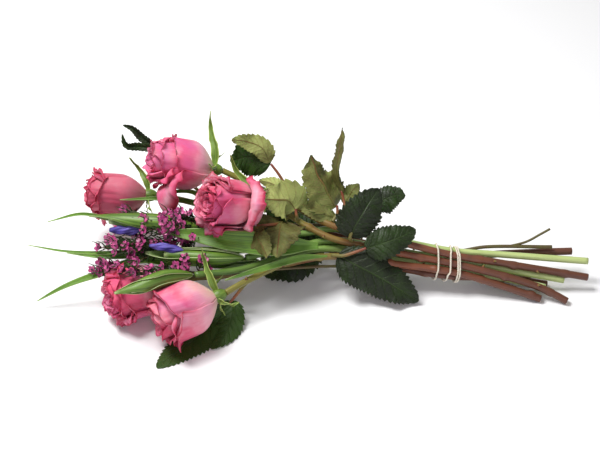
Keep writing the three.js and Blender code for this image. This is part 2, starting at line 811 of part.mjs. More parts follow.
// ---------------------------------------------------------------- the bunch
// Each piece in the order it is kept whole: a later piece is cut back from the earlier ones.
const pieces = [];
const add = (name, colour, shape) => pieces.push({ name, colour, shape });
for (const [name, rose] of Object.entries(ROSES)) {
  add(`${name}_heart`, "petal", heart(rose));
  OUTER_PETALS.forEach((p, i) => add(`${name}_outer_petal_${i + 1}`, "petal", outerPetal(rose, p)));
  add(`${name}_stem`, "woody_stem", bar(stemCurve(name), taper(WOODY_RADIUS), 6, 16));
  add(`${name}_calyx`, "sepal", calyx(name, rose));
}
for (const [name, bud] of Object.entries(SPATHES)) {
  if (IRIS_PETALS[name]) add(`${name}_petals`, "iris_petal", irisPetals(IRIS_PETALS[name]));
  const stem = [bar(stemCurve(name), taper(SOFT_RADIUS), 6, 16), ...(bud.blades ?? []).map(strapLeaf)];
  if (name === "iris_4") {
    add(`${name}_shoot`, "soft_stem", joined([...stem, spathe(bud)]));
  } else {
    add(`${name}_stem`, "soft_stem", joined(stem));
    add(`${name}_spathe`, "spathe", spathe(bud));
  }
}
for (const [name, leaf] of Object.entries(LEAVES)) add(name, "leaf", roseLeaf(leaf));
for (const [name, strap] of Object.entries(STRAPS)) add(name, "strap", strapLeaf(strap));
for (const name of Object.keys(WAXFLOWERS)) add(name, "waxflower", sprig(name));
add("string_tie", "string", string());

// The largest body that is left of a piece once its neighbours and a gap round them are cut away.
function cutBack(solid, kept) {
  let left = solid;
  for (const other of kept) {
    const pressed = left.intersect(other.grown).volume() > MOST_BRUSH;
    if (pressed || left.intersect(other.solid).volume() > 0) left = left.subtract(other.grown);
  }
  return left.decompose().sort((p, q) => q.volume() - p.volume())[0];
}

const bunch = new THREE.Group();
const kept = [];
for (const piece of pieces) {
  const whole = piece.shape.isBufferGeometry ? solidOf(piece.shape) : piece.shape;
  const solid = cutBack(whole, kept);
  const geometry = geometryFrom(solid);
  kept.push({ solid, grown: solidOf(swollen(geometry, GAP)) });
  const mesh = new THREE.Mesh(
    geometry,
    new THREE.MeshStandardMaterial({ color: COLOURS[piece.colour], roughness: 0.6, metalness: 0 }),
  );
  mesh.name = piece.name;
  bunch.add(mesh);
}

// The origin is under the middle of the bunch, on the surface that it lies on.
const box = new THREE.Box3().setFromObject(bunch);
const middle = box.getCenter(new THREE.Vector3());
bunch.position.set(-middle.x, -middle.y, -box.min.z);

export default bunch;
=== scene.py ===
"""A tied bunch of half-open roses, iris buds, waxflower and foliage, lying on a pale table."""
import math

import bpy
import numpy as np
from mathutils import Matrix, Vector


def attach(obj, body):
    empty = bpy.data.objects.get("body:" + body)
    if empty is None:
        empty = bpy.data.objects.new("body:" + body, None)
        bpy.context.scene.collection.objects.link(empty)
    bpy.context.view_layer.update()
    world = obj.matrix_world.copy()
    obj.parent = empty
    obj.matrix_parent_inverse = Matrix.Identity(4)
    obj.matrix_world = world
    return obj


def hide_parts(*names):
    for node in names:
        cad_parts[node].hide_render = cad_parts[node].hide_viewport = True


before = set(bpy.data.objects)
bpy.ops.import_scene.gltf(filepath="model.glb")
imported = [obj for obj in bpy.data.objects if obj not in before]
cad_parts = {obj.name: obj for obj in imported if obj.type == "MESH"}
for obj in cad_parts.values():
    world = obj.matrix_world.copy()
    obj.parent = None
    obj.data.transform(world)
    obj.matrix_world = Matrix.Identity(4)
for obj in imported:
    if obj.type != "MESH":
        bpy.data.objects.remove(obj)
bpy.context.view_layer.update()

# ---- the layout, in millimetres, as in the frame
MM = 0.001
ORIGIN = np.array([9.081, 1.342, 0.077])  # the frame's origin in the layout
HIP_LENGTH = 9.0
GAP = 0.35
WOODY_RADIUS = (3.5, 2.9)  # of a stem at its cut end and at its neck
SOFT_RADIUS = (3.0, 2.7)
TWIG_RADIUS = (1.7, 1.1)
STALK_RADIUS = (1.7, 1.1)
STRING_RADIUS = 0.8
STRING_SLACK = 0.5  # how far the string's straight steps stand off the stems
STRING_TURNS_AT = [116.5, 122.5, 136.5, 138.3, 140.1]  # x at the start of each turn, and the end
STRING_BOW = 2.2  # how far a turn bows along x
STRING_BOW_AT = 5 * math.pi / 6  # the angle from +Y where it bows most
POINTS_PER_TURN = 14
ROSES = {
    "rose_1": {"centre": [-169, 63, 53], "heading": 187, "pitch": 8, "height": 58,
               "radius": 19.5, "roll": 20},
    "rose_2": {"centre": [-108, 61, 89], "heading": 193, "pitch": 20, "height": 63,
               "radius": 22, "roll": 75},
    "rose_3": {"centre": [-61, 8, 86], "heading": 212, "pitch": 27, "height": 63,
               "radius": 22, "roll": 10},
    "rose_4": {"centre": [-144.5, -40.4, 25.7], "heading": 208, "pitch": 4, "height": 56,
               "radius": 22, "roll": 50},
    "rose_5": {"centre": [-99, -69, 31.7], "heading": 205, "pitch": -8, "height": 60,
               "radius": 24, "roll": 95},
}
# Each sepal's direction and length.
SEPALS = {
    "rose_1": [[[-0.5, 0.5, 0.7], 36], [[0.3, 0.9, 0.3], 24],
               [[0.2, -0.9, -0.3], 22], [[-0.2, 0.2, -1], 20]],
    "rose_2": [[[-0.1, 0.62, 0.78], 50], [[-0.3, -0.7, 0.8], 20],
               [[0.3, 0.95, -0.1], 26], [[0.1, -0.8, -0.6], 24]],
    "rose_3": [[[-0.55, 0.5, 0.67], 50], [[0.1, -0.8, 0.5], 22],
               [[0.5, 0.8, 0.1], 24], [[0.3, -0.6, -0.7], 20]],
    "rose_4": [[[0.3, 0.5, 0.8], 20], [[0.1, 0.9, -0.3], 24],
               [[0.2, -0.9, 0.1], 20], [[0.4, 0, -0.9], 16]],
    "rose_5": [[[-0.3, 0.45, 0.84], 42], [[0.9, -0.45, 0.12], 20],
               [[0.3, 0.8, 0.3], 22], [[0.3, -0.3, -0.9], 16]],
}
# Each stem's route, from its cut end.
STEMS = {
    "rose_1": [
        [245, 17, 24], [180, 13, 24], [136, 7.2, 22.9], [80, 12, 31], [30, 20, 40], [-15, 38, 38],
        [-75, 58, 39], [-110, 67, 43],
    ],
    "rose_2": [
        [257, -7, 14], [180, -3, 27], [136, -0.5, 34.3], [80, 7, 46], [30, 14, 56], [-15, 42, 63],
        [-50, 64, 67],
    ],
    "rose_3": [
        [237, -27, 3.4], [214, -18.5, 11.5], [180, -12.5, 20.5], [136, -5.4, 28.5], [80, 0, 38.5],
        [30, 6.5, 47.5], [5, 17, 54], [-14, 27, 61],
    ],
    "rose_4": [
        [222, -5, 3.5], [180, -2, 9], [136, -7.6, 15.5], [80, -2, 22], [30, 5, 28.5], [-20, -3, 24],
        [-70, -16, 23.5], [-92, -20, 25],
    ],
    "rose_5": [
        [214, -24, 3.4], [175, -16, 13.5], [136, -10.2, 22.7], [80, -8, 31], [30, -4, 36],
        [-10, -13, 37.5], [-42, -36, 38.5],
    ],
    "iris_1": [
        [258, 5, 22.5], [180, 6.5, 29], [136, 7, 33], [80, 14, 41], [30, 19.5, 48], [5, 15, 47],
        [-30, 8, 49], [-60, 6, 53.5], [-88, 8, 59.5],
    ],
    "iris_2": [
        [236, -7.5, 11], [180, -2.4, 20], [136, 2.1, 27.2], [80, 6.5, 34.5], [30, 12, 41.5], [0, 2, 43],
        [-47, -20.5, 49.3],
    ],
    "iris_3": [
        [219, -13, 7], [180, -8.2, 14.5], [136, -2.7, 21.3], [80, 1, 29], [30, 6, 36.6], [-10, -4, 39],
        [-50, -28, 42.5], [-90, -44, 50],
    ],
    "iris_4": [
        [208, 5, 6.5], [180, 4.5, 12], [136, 2.3, 17.1], [80, 8, 25], [30, 13.6, 33], [-10, 2.5, 32.5],
        [-34, -8, 35],
    ],
    "waxflower_1": [
        [226, 14, 31.5], [167, 13, 32.5], [136, 11.5, 28.8], [80, 19, 38], [30, 26, 46], [-30, 24, 49],
        [-88, 20, 55],
    ],
    "waxflower_2": [
        [190, 4, 4.5], [136, 8.8, 16.6], [80, 13, 21.5], [30, 14, 26], [-20, 10, 32], [-70, 8, 45],
        [-118, 1, 49],
    ],
    "waxflower_3": [
        [192, 0.5, 2], [160, -0.8, 7], [136, -1.9, 11.6], [80, 2.5, 17.4], [55, 0.5, 19], [30, -2, 22.5],
        [-20, -13, 29], [-60, -26, 34.5], [-104, -32, 43],
    ],
}


def ribbon(path, facing, width, fold, drop=False):
    """A blade: its midrib, where its upper face turns, its widest width and the angle it folds up.

    A drop is widest near its foot.
    """
    return {"path": path, "facing": facing, "width": width, "fold": fold, "drop": drop}


# Each bract's axis, its radius, the way it opens, and the blades that grow on its stem.
SPATHES = {
    "iris_1": {
        "path": [[-90, 8, 60], [-118, 8, 64], [-152, 11, 64], [-187, 19, 62]],
        "radius": 8,
        "open": [0.2, -0.75, -0.6],
        "blades": [
            ribbon([[-58, 6, 53.5], [-72, 24, 57], [-90, 37, 62], [-126, 45, 62], [-162, 43.5, 62]],
                   [0, -0.77, 0.64], 6, 20),
            ribbon([[-64, 6.5, 54], [-80, 26, 63], [-95, 44, 70], [-128, 46, 67]],
                   [0, -0.77, 0.64], 6, 20),
        ],
    },
    "iris_2": {
        "path": [[-49, -21.5, 49.6], [-75, -24, 52], [-105, -21, 52], [-135, -17, 52]],
        "radius": 7,
        "open": [-0.2, -0.1, 1],
    },
    "iris_3": {
        "path": [[-92, -45, 51], [-113, -54, 56], [-135, -66, 56], [-156, -72, 54]],
        "radius": 6.8,
        "open": None,
    },
    "iris_4": {
        "path": [[-36, -9, 35.3], [-50, -15, 38.5], [-66, -20, 41], [-84, -24, 41.5]],
        "radius": 4.6,
        "open": None,
    },
}
IRIS_PETALS = {
    "iris_1": {"path": [[-136, 6.5, 60], [-151, 6, 58.5], [-168, 7, 57]], "radius": 4.6},
    "iris_2": {"path": [[-101, -20, 56.5], [-116, -17.5, 58], [-131, -15, 58]], "radius": 3.6},
}
STRAPS = {
    "strap_leaf_1": ribbon([[-20, 20, 43], [-70, 20, 46], [-125, 21, 52], [-164, 20, 57],
                            [-194, 22, 62.5], [-223, 15, 60]],
                           [0, -0.3, 1], 8, 25),
    "strap_leaf_2": ribbon([[-46, -3, 44], [-90, -7, 47], [-130, -8, 47], [-172, -11, 46],
                            [-208, -9, 46.5], [-240, -3, 48.5]],
                           [0, -0.4, 1], 5, 20),
    "strap_leaf_3": ribbon([[-46, 2, 36], [-90, -3, 38], [-130, -6, 40], [-172, -8, 39], [-206, -4, 40]],
                           [0, -0.7, 1], 8, 20),
    "strap_leaf_4": ribbon([[-86, -12, 32.5], [-112, -15, 38], [-140, -17, 43.5], [-168, -23, 35.5],
                            [-204, -26, 22], [-232, -32, 8]],
                           [0, -0.5, 1], 9, 15),
    "strap_leaf_5": ribbon([[16, -6, 50], [-20, -11, 56], [-57, -13, 61], [-90, -8, 64], [-116, -5, 65]],
                           [0, -0.7, 0.8], 24, 14),
    "strap_leaf_6": ribbon([[24, -12, 43.5], [0, -17, 45.5], [-35, -33, 46.5], [-65, -42, 42]],
                           [0, -1, 0.7], 7, 10),
}
LEAVES = {
    "leaf_front": {
        "stalk": [[28, -6, 39.5], [38, -11, 43], [50, -10, 47], [58, -9, 50]],
        "leaflets": [
            ribbon([[33, -8.5, 41], [48, -16, 37.5], [72, -22, 26], [104.5, -28, 4]],
                   [0.1, -0.78, 0.62], 38, 10),
            ribbon([[57, -9, 49.5], [72, -7, 53.5], [88, -1, 56], [102, 9, 57]],
                   [0, -0.65, 0.76], 28, 12),
        ],
    },
    "leaf_top": {
        "stalk": [[46, 2, 49], [44, 0, 54], [50, 8, 66], [66, 22, 73]],
        "leaflets": [
            ribbon([[44.5, 0, 54], [48, 3, 65], [57, 10, 79], [69, 22, 92]], [0.1, -0.85, 0.5], 36, 10),
            ribbon([[65, 21, 72.5], [74, 25, 77], [84, 28, 79], [93, 30, 78]], [-0.1, -0.6, 0.8], 24, 10),
        ],
    },
    "leaf_pale": {
        "stalk": [[29, 16, 59.5], [33, 22, 64], [33, 27, 69]],
        "leaflets": [
            ribbon([[32.5, 26.5, 68], [23, 34.5, 79], [14.5, 41.7, 94], [9.7, 50.7, 107]],
                   [-0.51, 0.47, -0.72], 48, 28, drop=True),
            ribbon([[31, 19, 61.5], [19, 21, 65], [7, 25, 69], [-6, 31, 73]], [0.1, 0.8, -0.5], 15, 10),
        ],
    },
    "leaf_upright": {
        "stalk": [[43, 14, 57], [41, 24, 62], [39, 34, 69], [37, 40, 75]],
        "leaflets": [
            ribbon([[37.5, 39, 74], [33, 46, 89], [34, 52, 104], [37, 69, 123.5]],
                   [0.9, 0.33, -0.28], 17, 14),
            ribbon([[40, 31, 67], [44, 36, 72], [48, 40, 77], [53, 45, 79]], [0.3, 0.7, -0.6], 15, 10),
        ],
    },
    "leaf_cupped": {
        "stalk": [[-9, 38, 66], [-12, 42, 76], [-18, 49, 85], [-26, 56, 93]],
        "leaflets": [
            ribbon([[-27, 57, 94], [-34, 61, 107], [-47, 63, 112.5], [-60, 59, 118]],
                   [0.05, 0.66, -0.75], 18, 14),
            ribbon([[-27, 57, 91], [-38, 60, 96], [-48, 60, 97], [-62, 54, 97]],
                   [0.1, -0.85, 0.5], 36, 10),
        ],
    },
    "leaf_curled": {
        "stalk": [[-2, 18.5, 60], [-3, 18.5, 64], [-4, 22, 69]],
        "leaflets": [
            ribbon([[-4, 21, 68.5], [-10, 24.5, 76], [-20, 21, 80], [-33, 17, 84]],
                   [0.1, 0.78, -0.6], 38, 12, drop=True),
            ribbon([[-9, 24, 75], [-15, 27, 83], [-24, 31, 90], [-36, 34, 92]], [0.1, 0.7, -0.7], 17, 32),
        ],
    },
    "leaf_hanging": {
        "stalk": [[-11, 20, 60.5], [-17, 9.5, 63], [-23, 2.5, 67.5], [-30, 0, 69], [-38, -3, 69.5]],
        "leaflets": [
            ribbon([[-15, 12.5, 62.5], [-17, 1, 68], [-18.5, -14, 66], [-20, -30, 57]],
                   [0.1, 0.75, -0.65], 44, 12, drop=True),
            ribbon([[-38, -3, 69.5], [-38, -11, 67], [-33, -19, 63], [-28.5, -31, 57]],
                   [0.6, 0.6, -0.5], 26, 22, drop=True),
        ],
    },
    "leaf_under": {
        "stalk": [[-46, -36, 35], [-52, -37, 26], [-62, -43, 15]],
        "leaflets": [
            ribbon([[-60, -42, 16], [-76, -56, 4.5], [-98, -80, 1.2], [-121, -107, 0.8]],
                   [0, 0, 1], 36, 3),
            ribbon([[-58, -41, 17], [-59, -54, 10], [-65, -70, 4], [-76, -85, 1.5]],
                   [0.1, -0.1, 1], 22, 4),
        ],
    },
    "leaf_far": {
        "stalk": [[-84, 64.5, 44.5], [-104, 78, 58], [-122, 85, 80], [-132, 88, 88]],
        "leaflets": [
            ribbon([[-131, 87.5, 87.5], [-143, 92, 95], [-152, 95.5, 103], [-161, 97, 106]],
                   [-0.2, -0.8, 0.6], 9, 35),
            ribbon([[-129, 87, 86], [-146, 87, 89], [-157, 82.5, 94], [-161, 87.5, 103]],
                   [-0.2, -0.8, 0.6], 9, 35),
        ],
    },
    "leaf_back_1": {
        "stalk": [[-42, 51, 39], [-46, 62, 33], [-52, 74, 22]],
        "leaflets": [
            ribbon([[-51, 72, 23], [-54, 82, 14], [-58, 95, 6], [-62, 110, 0.6]], [0, 0.5, 0.87], 34, 8),
        ],
    },
    "leaf_back_2": {
        "stalk": [[10, 31, 38.5], [6, 42, 33], [2, 52, 22]],
        "leaflets": [
            ribbon([[3, 50, 23], [0, 60, 14], [-4, 72, 6], [-8, 86, 0.6]], [0, 0.5, 0.87], 30, 8),
            ribbon([[6, 42, 32], [2, 28, 20], [-12, 14, 13], [-40, 2, 9]], [0, -0.3, 0.95], 40, 5),
            ribbon([[8, 37, 36], [-4, 47, 40], [-18, 53, 42], [-36, 57, 44]], [0, -0.77, 0.64], 24, 10),
            ribbon([[7, 39, 34], [18, 37, 32], [29, 33, 31], [42, 27, 31]], [0, -0.77, 0.64], 26, 10),
        ],
    },
}
# The middle of each of a sprig's front flowers.
WAXFLOWERS = {
    "waxflower_1": [
        [-105, 11, 75], [-108, 3, 74], [-118, 1, 74], [-112, -3, 68], [-109, -6, 66], [-120, -3, 65],
        [-158, 37, 57], [-160, 32, 50],
    ],
    "waxflower_2": [
        [-169, 2, 52], [-164, -3, 54], [-141, 3, 50], [-152, -14, 57], [-149, -19, 53], [-138, -14, 61],
        [-141, -28, 51], [-146, -24, 49], [-112, -5, 51], [-102, 0, 48],
    ],
    "waxflower_3": [
        [-174, -18, 41], [-175, -25, 36], [-167, -27, 43], [-160, -28, 47], [-152, -44, 56],
        [-141, -50, 59], [-129, -42, 56], [-118, -37, 53], [-107, -33, 50], [-98, -34, 54],
        [-84, -32, 57], [-80, -32, 46],
    ],
}
SPURS = {
    "waxflower_1": [[[186, 13.5, 32.3], [203, 16, 36], [215, 20, 41], [224, 23, 45]]],
}

# ---- numbers
rng = np.random.default_rng(7)


def smooth(low, high, x):
    """A soft step from 0 at low to 1 at high."""
    t = np.clip((np.asarray(x, float) - low) / (high - low), 0, 1)
    return t * t * (3 - 2 * t)


def unit(v):
    v = np.asarray(v, float)
    return v / np.maximum(np.linalg.norm(v, axis=-1, keepdims=True), 1e-9)


def mix(a, b, t):
    return a + (b - a) * t


def wobble(x, seed):
    """A smooth random wave of about unit height."""
    waves = np.random.default_rng(seed)
    total = 0.0
    for k in (1, 2, 3):
        total = total + np.sin(x * k * waves.uniform(0.8, 1.3) + waves.uniform(0, 6.28)) / k
    return total / 1.5


class Path:
    """A centripetal Catmull-Rom curve through points, read by its share of arc length."""

    def __init__(self, points):
        p = np.array(points, float)
        p = np.vstack([2 * p[0] - p[1], p, 2 * p[-1] - p[-2]])
        runs = []
        for i in range(1, len(p) - 2):
            q = p[i - 1:i + 3]
            d0, d1, d2 = (max(np.linalg.norm(q[k + 1] - q[k]), 1e-6) ** 0.5 for k in range(3))
            t1 = ((q[1] - q[0]) / d0 - (q[2] - q[0]) / (d0 + d1) + (q[2] - q[1]) / d1) * d1
            t2 = ((q[2] - q[1]) / d1 - (q[3] - q[1]) / (d1 + d2) + (q[3] - q[2]) / d2) * d1
            t = np.linspace(0, 1, 30, endpoint=False)[:, None]
            runs.append(q[1] + t1 * t + (3 * (q[2] - q[1]) - 2 * t1 - t2) * t ** 2
                        + (2 * (q[1] - q[2]) + t1 + t2) * t ** 3)
        self.points = np.vstack([*runs, p[-2:-1]])
        steps = np.linalg.norm(np.diff(self.points, axis=0), axis=1)
        self.reach = np.concatenate([[0], np.cumsum(steps)])
        self.length = self.reach[-1]

    def at(self, t):
        s = np.clip(t, 0, 1) * self.length
        return np.stack([np.interp(s, self.reach, self.points[:, k]) for k in range(3)], -1)

    def tangent(self, t):
        t = np.asarray(t, float)
        return unit(self.at(np.minimum(t + 0.01, 1)) - self.at(np.maximum(t - 0.01, 0)))


# ---- meshes
def ringed_faces(rows, sides):
    """The walls between rows of ring points, and a cap at each end to the two points after them."""
    i = np.arange(sides)
    j = (i + 1) % sides
    start = np.arange(rows - 1)[:, None] * sides
    k, k1 = (start + i).ravel(), (start + j).ravel()
    walls = np.stack([k, k1, k1 + sides, k + sides], 1)
    foot, tip, last = np.full(sides, rows * sides), np.full(sides, rows * sides + 1), (rows - 1) * sides
    caps = [*np.stack([foot, j, i], 1), *np.stack([tip, last + i, last + j], 1)]
    return list(walls), caps


class Piece:
    """Closed surfaces gathered into one mesh, with the attributes that the materials read."""

    ATTRIBUTES = ("along", "across", "tone")

    def __init__(self):
        self.points, self.faces, self.slots = [], [], []
        self.values = {name: [] for name in self.ATTRIBUTES}
        self.count = 0

    def add(self, points, faces, slots, along, across, tone):
        points = np.asarray(points, float).reshape(-1, 3)
        self.points.append(points)
        self.faces.extend((np.asarray(f) + self.count).tolist() for f in faces)
        self.slots.extend(slots)
        for name, value in zip(self.ATTRIBUTES, (along, across, tone)):
            self.values[name].append(np.broadcast_to(np.asarray(value, float), len(points)))
        self.count += len(points)

    def shell(self, grid, thickness, tone=0.0, front=0, back=0, along=None):
        """A sheet of points grid[b][a], thickened both ways along its normals."""
        nb, na, _ = grid.shape
        du, dv = np.gradient(grid, axis=1), np.gradient(grid, axis=0)
        normal = unit(np.cross(du, dv))
        half = np.broadcast_to(np.asarray(thickness, float) / 2, (nb, na))[..., None]
        points = np.stack([grid + normal * half, grid - normal * half])
        k = (np.arange(nb - 1)[:, None] * na + np.arange(na - 1)).ravel()
        top = np.stack([k, k + 1, k + na + 1, k + na], 1)
        under = top[:, ::-1] + nb * na
        i, j = np.arange(na - 1), np.arange(nb - 1) * na
        p = np.concatenate([i, (nb - 1) * na + i + 1, j + na, j + na - 1])
        q = np.concatenate([i + 1, (nb - 1) * na + i, j, j + 2 * na - 1])
        walls = np.stack([p, p + nb * na, q + nb * na, q], 1)
        b = np.repeat(np.linspace(0, 1, nb) if along is None else along, na)
        a = np.tile(np.linspace(-1, 1, na), nb)
        slots = [front] * len(top) + [back] * len(under) + [front] * len(walls)
        self.add(points, [*top, *under, *walls], slots, np.tile(b, 2), np.tile(a, 2), tone)

    def tube(self, path, radius, sides=12, steps=60, tone=0.0, slot=0, end_slot=None, shape=None):
        """A round bar; radius is a number or a function of t, shape(t, angle) scales it."""
        t = np.linspace(0, 1, steps + 1)
        centre, way = path.at(t), path.tangent(t)
        normal = np.zeros_like(way)
        side = np.cross(way[0], [0, 0, 1.0])
        normal[0] = unit(side if np.linalg.norm(side) > 0.1 else np.cross(way[0], [0, 1.0, 0]))
        for k in range(1, len(t)):
            normal[k] = unit(normal[k - 1] - way[k] * np.dot(normal[k - 1], way[k]))
        binormal = np.cross(way, normal)
        angle = np.linspace(0, 2 * np.pi, sides, endpoint=False)
        r = (radius(t) if callable(radius) else np.full(len(t), float(radius)))[:, None] * np.ones(sides)
        if shape is not None:
            r = r * shape(t[:, None], angle[None, :])
        rings = (centre[:, None] + (r * np.cos(angle))[..., None] * normal[:, None]
                 + (r * np.sin(angle))[..., None] * binormal[:, None])
        points = np.concatenate([rings.reshape(-1, 3), centre[[0, -1]]])
        walls, caps = ringed_faces(len(t), sides)
        foot_slot = slot if end_slot is None else end_slot
        slots = [slot] * len(walls) + [foot_slot] * sides + [slot] * sides
        along = np.concatenate([np.repeat(t, sides), [0, 1]])
        across = np.concatenate([np.tile(angle / np.pi - 1, len(t)), [0, 0]])
        self.add(points, [*walls, *caps], slots, along, across, tone)

    def ball(self, centre, radius, tone=0.0, slot=0):
        """A closed ball."""
        rows, sides = 7, 12
        height = np.linspace(-np.pi / 2, np.pi / 2, rows + 2)[1:-1, None]
        angle = np.linspace(0, 2 * np.pi, sides, endpoint=False)
        ring = [np.cos(height) * np.cos(angle), np.cos(height) * np.sin(angle), np.sin(height)]
        rings = np.stack(np.broadcast_arrays(*ring), -1).reshape(-1, 3)
        points = np.concatenate([rings, [[0, 0, -1], [0, 0, 1]]]) * radius + centre
        walls, caps = ringed_faces(rows, sides)
        self.add(points, [*walls, *caps], [slot] * (len(walls) + len(caps)), 0.5, 0.0, tone)

    def make(self, name, materials, node, slot):
        """One object from all that was added, riding on the root and shown in place of its CAD node."""
        points = (np.concatenate(self.points) - ORIGIN) * MM
        mesh = bpy.data.meshes.new(name)
        mesh.from_pydata(points.tolist(), [], self.faces)
        mesh.polygons.foreach_set("material_index", np.array(self.slots, dtype=np.int32))
        mesh.polygons.foreach_set("use_smooth", np.ones(len(self.faces), dtype=bool))
        for key, values in self.values.items():
            layer = mesh.attributes.new(key, "FLOAT", "POINT")
            layer.data.foreach_set("value", np.concatenate(values).astype(np.float32))
        for material in materials:
            mesh.materials.append(material)
        mesh.update()
        made = bpy.data.objects.new(name, mesh)
        bpy.context.scene.collection.objects.link(made)
        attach(made, "root")
        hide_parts(node)


# ---- materials
VEINS_PER_LEAF = 8.5
VEIN_SLANT = 1.7


class Shader:
    """Short names for the nodes of one material."""

    def __init__(self, name, roughness, coat=0.0, subsurface=0.0, scatter=(1, 0.3, 0.2), sheen=0.0,
                 specular=0.5):
        self.material = bpy.data.materials.new(name)
        self.material.use_nodes = True
        self.tree = self.material.node_tree
        self.surface = self.tree.nodes["Principled BSDF"]
        self.set("Roughness", roughness)
        self.set("Coat Weight", coat)
        self.set("Coat Roughness", 0.35)
        self.set("Subsurface Weight", subsurface)
        self.set("Subsurface Radius", scatter)
        self.set("Subsurface Scale", 0.002)
        self.set("Sheen Weight", sheen)
        self.set("Sheen Roughness", 0.5)
        self.set("Specular IOR Level", specular)

    def set(self, name, value):
        self.surface.inputs[name].default_value = value

    def node(self, kind, **inputs):
        made = self.tree.nodes.new(kind)
        for key, value in inputs.items():
            self.feed(made.inputs[key], value)
        return made

    def feed(self, socket, value):
        """Set a socket to a link, an sRGB code or a plain value."""
        if isinstance(value, bpy.types.NodeSocket):
            self.tree.links.new(value, socket)
        elif isinstance(value, str):
            socket.default_value = (*rgb(value), 1)
        else:
            socket.default_value = value

    def attribute(self, name):
        made = self.node("ShaderNodeAttribute")
        made.attribute_name = name
        return made.outputs["Fac"]

    def place(self):
        return self.node("ShaderNodeTexCoord").outputs["Object"]

    def surface_place(self, stretch):
        """A vector of the surface's own along, across and tone."""
        along, across, tone = (self.attribute(name) for name in Piece.ATTRIBUTES)
        joined = self.node("ShaderNodeCombineXYZ", X=along, Y=across, Z=tone)
        return self.node("ShaderNodeMapping", Vector=joined.outputs[0], Scale=stretch).outputs["Vector"]

    def noise(self, vector, scale, detail, roughness=0.55):
        inputs = {"Vector": vector, "Scale": scale, "Detail": detail, "Roughness": roughness}
        return self.node("ShaderNodeTexNoise", **inputs).outputs["Fac"]

    def math(self, operation, *values):
        made = self.tree.nodes.new("ShaderNodeMath")
        made.operation = operation
        for k, value in enumerate(values):
            self.feed(made.inputs[k], value)
        return made.outputs[0]

    def add(self, a, b):
        return self.math("ADD", a, b)

    def minus(self, a, b):
        return self.math("SUBTRACT", a, b)

    def times(self, a, b):
        return self.math("MULTIPLY", a, b)

    def ramp(self, factor, *stops):
        made = self.node("ShaderNodeValToRGB", Fac=factor)
        ramp = made.color_ramp
        while len(ramp.elements) < len(stops):
            ramp.elements.new(0.5)
        for element, (place, colour) in zip(ramp.elements, stops):
            element.position = place
            element.color = (*rgb(colour), 1)
        return made.outputs["Color"]

    def blend(self, factor, a, b):
        made = self.tree.nodes.new("ShaderNodeMix")
        made.data_type = "RGBA"
        self.feed(made.inputs["Factor"], factor)
        self.feed(made.inputs["A"], a)
        self.feed(made.inputs["B"], b)
        return made.outputs["Result"]

    def range(self, value, low, high, to_low=0.0, to_high=1.0):
        limits = {"From Min": low, "From Max": high, "To Min": to_low, "To Max": to_high}
        return self.node("ShaderNodeMapRange", Value=value, **limits).outputs["Result"]

    def colour(self, value):
        self.feed(self.surface.inputs["Base Color"], value)

    def bump(self, height, distance, strength):
        made = self.node("ShaderNodeBump", Height=height, Distance=distance, Strength=strength)
        self.feed(self.surface.inputs["Normal"], made.outputs["Normal"])


def rgb(code):
    """A linear colour from an sRGB code such as e0567f."""
    parts = [int(code[k:k + 2], 16) / 255 for k in (0, 2, 4)]
    return tuple(c / 12.92 if c <= 0.04045 else ((c + 0.055) / 1.055) ** 2.4 for c in parts)


def petal_material(name, foot, body, light, rim, deep, dusk, lilac_shade):
    """Pale at the foot of the outer faces and deep rose, painted shade in the heart's crevices, at the foot
    of the inner faces; lighter and deeper clouds in the body and a thin dark rim.

    dusk is what the deepest rose's petals turn to, and the lilac clouds over the rest are painted shade, a
    cool violet tint.
    """
    s = Shader(name, roughness=0.5, subsurface=0.2, scatter=(1, 0.25, 0.3), sheen=0.1, specular=0.35)
    along, across = s.attribute("along"), s.attribute("across")
    off = s.math("ABSOLUTE", across)
    patch = s.noise(s.place(), 55, 3)
    uneven = s.minus(patch, 0.5)
    reach = s.add(along, s.times(uneven, 0.35))
    # The foot colour: pale cream outside, and inside a deep rose that is painted shade in the heart's
    # crevices.
    base = s.ramp(reach, (0.04, foot), (0.3, light), (0.55, body), (0.8, body), (0.95, deep))
    cloud = s.noise(s.place(), 34, 3)
    # The lighter clouds are partly the petals' own paler patches and partly painted highlight.
    base = s.blend(s.range(cloud, 0.5, 0.68, 0, 0.75), base, light)
    base = s.blend(s.range(cloud, 0.46, 0.3, 0, 0.6), base, deep)
    # Lilac clouds: painted shade, the violet tint of shaded petals, laid in random patches.
    base = s.blend(s.range(s.noise(s.place(), 26, 2), 0.5, 0.64, 0, 0.5), base, lilac_shade)
    base = s.blend(s.range(s.attribute("tone"), 0, 1, 0, 0.85), base, dusk)
    veins = s.noise(s.surface_place((2.5, 40, 45)), 1.0, 5, 0.6)
    base = s.blend(s.range(veins, 0.4, 0.75, 0, 0.28), base, deep)
    lip = s.range(s.add(along, s.times(uneven, 0.06)), 0.935, 0.985)
    side_lip = s.times(s.range(off, 0.9, 0.98), s.range(along, 0.45, 0.75))
    base = s.blend(s.times(s.math("MAXIMUM", lip, side_lip), 0.85), base, rim)
    s.colour(base)
    s.bump(veins, 0.0004, 0.55)
    return s.material


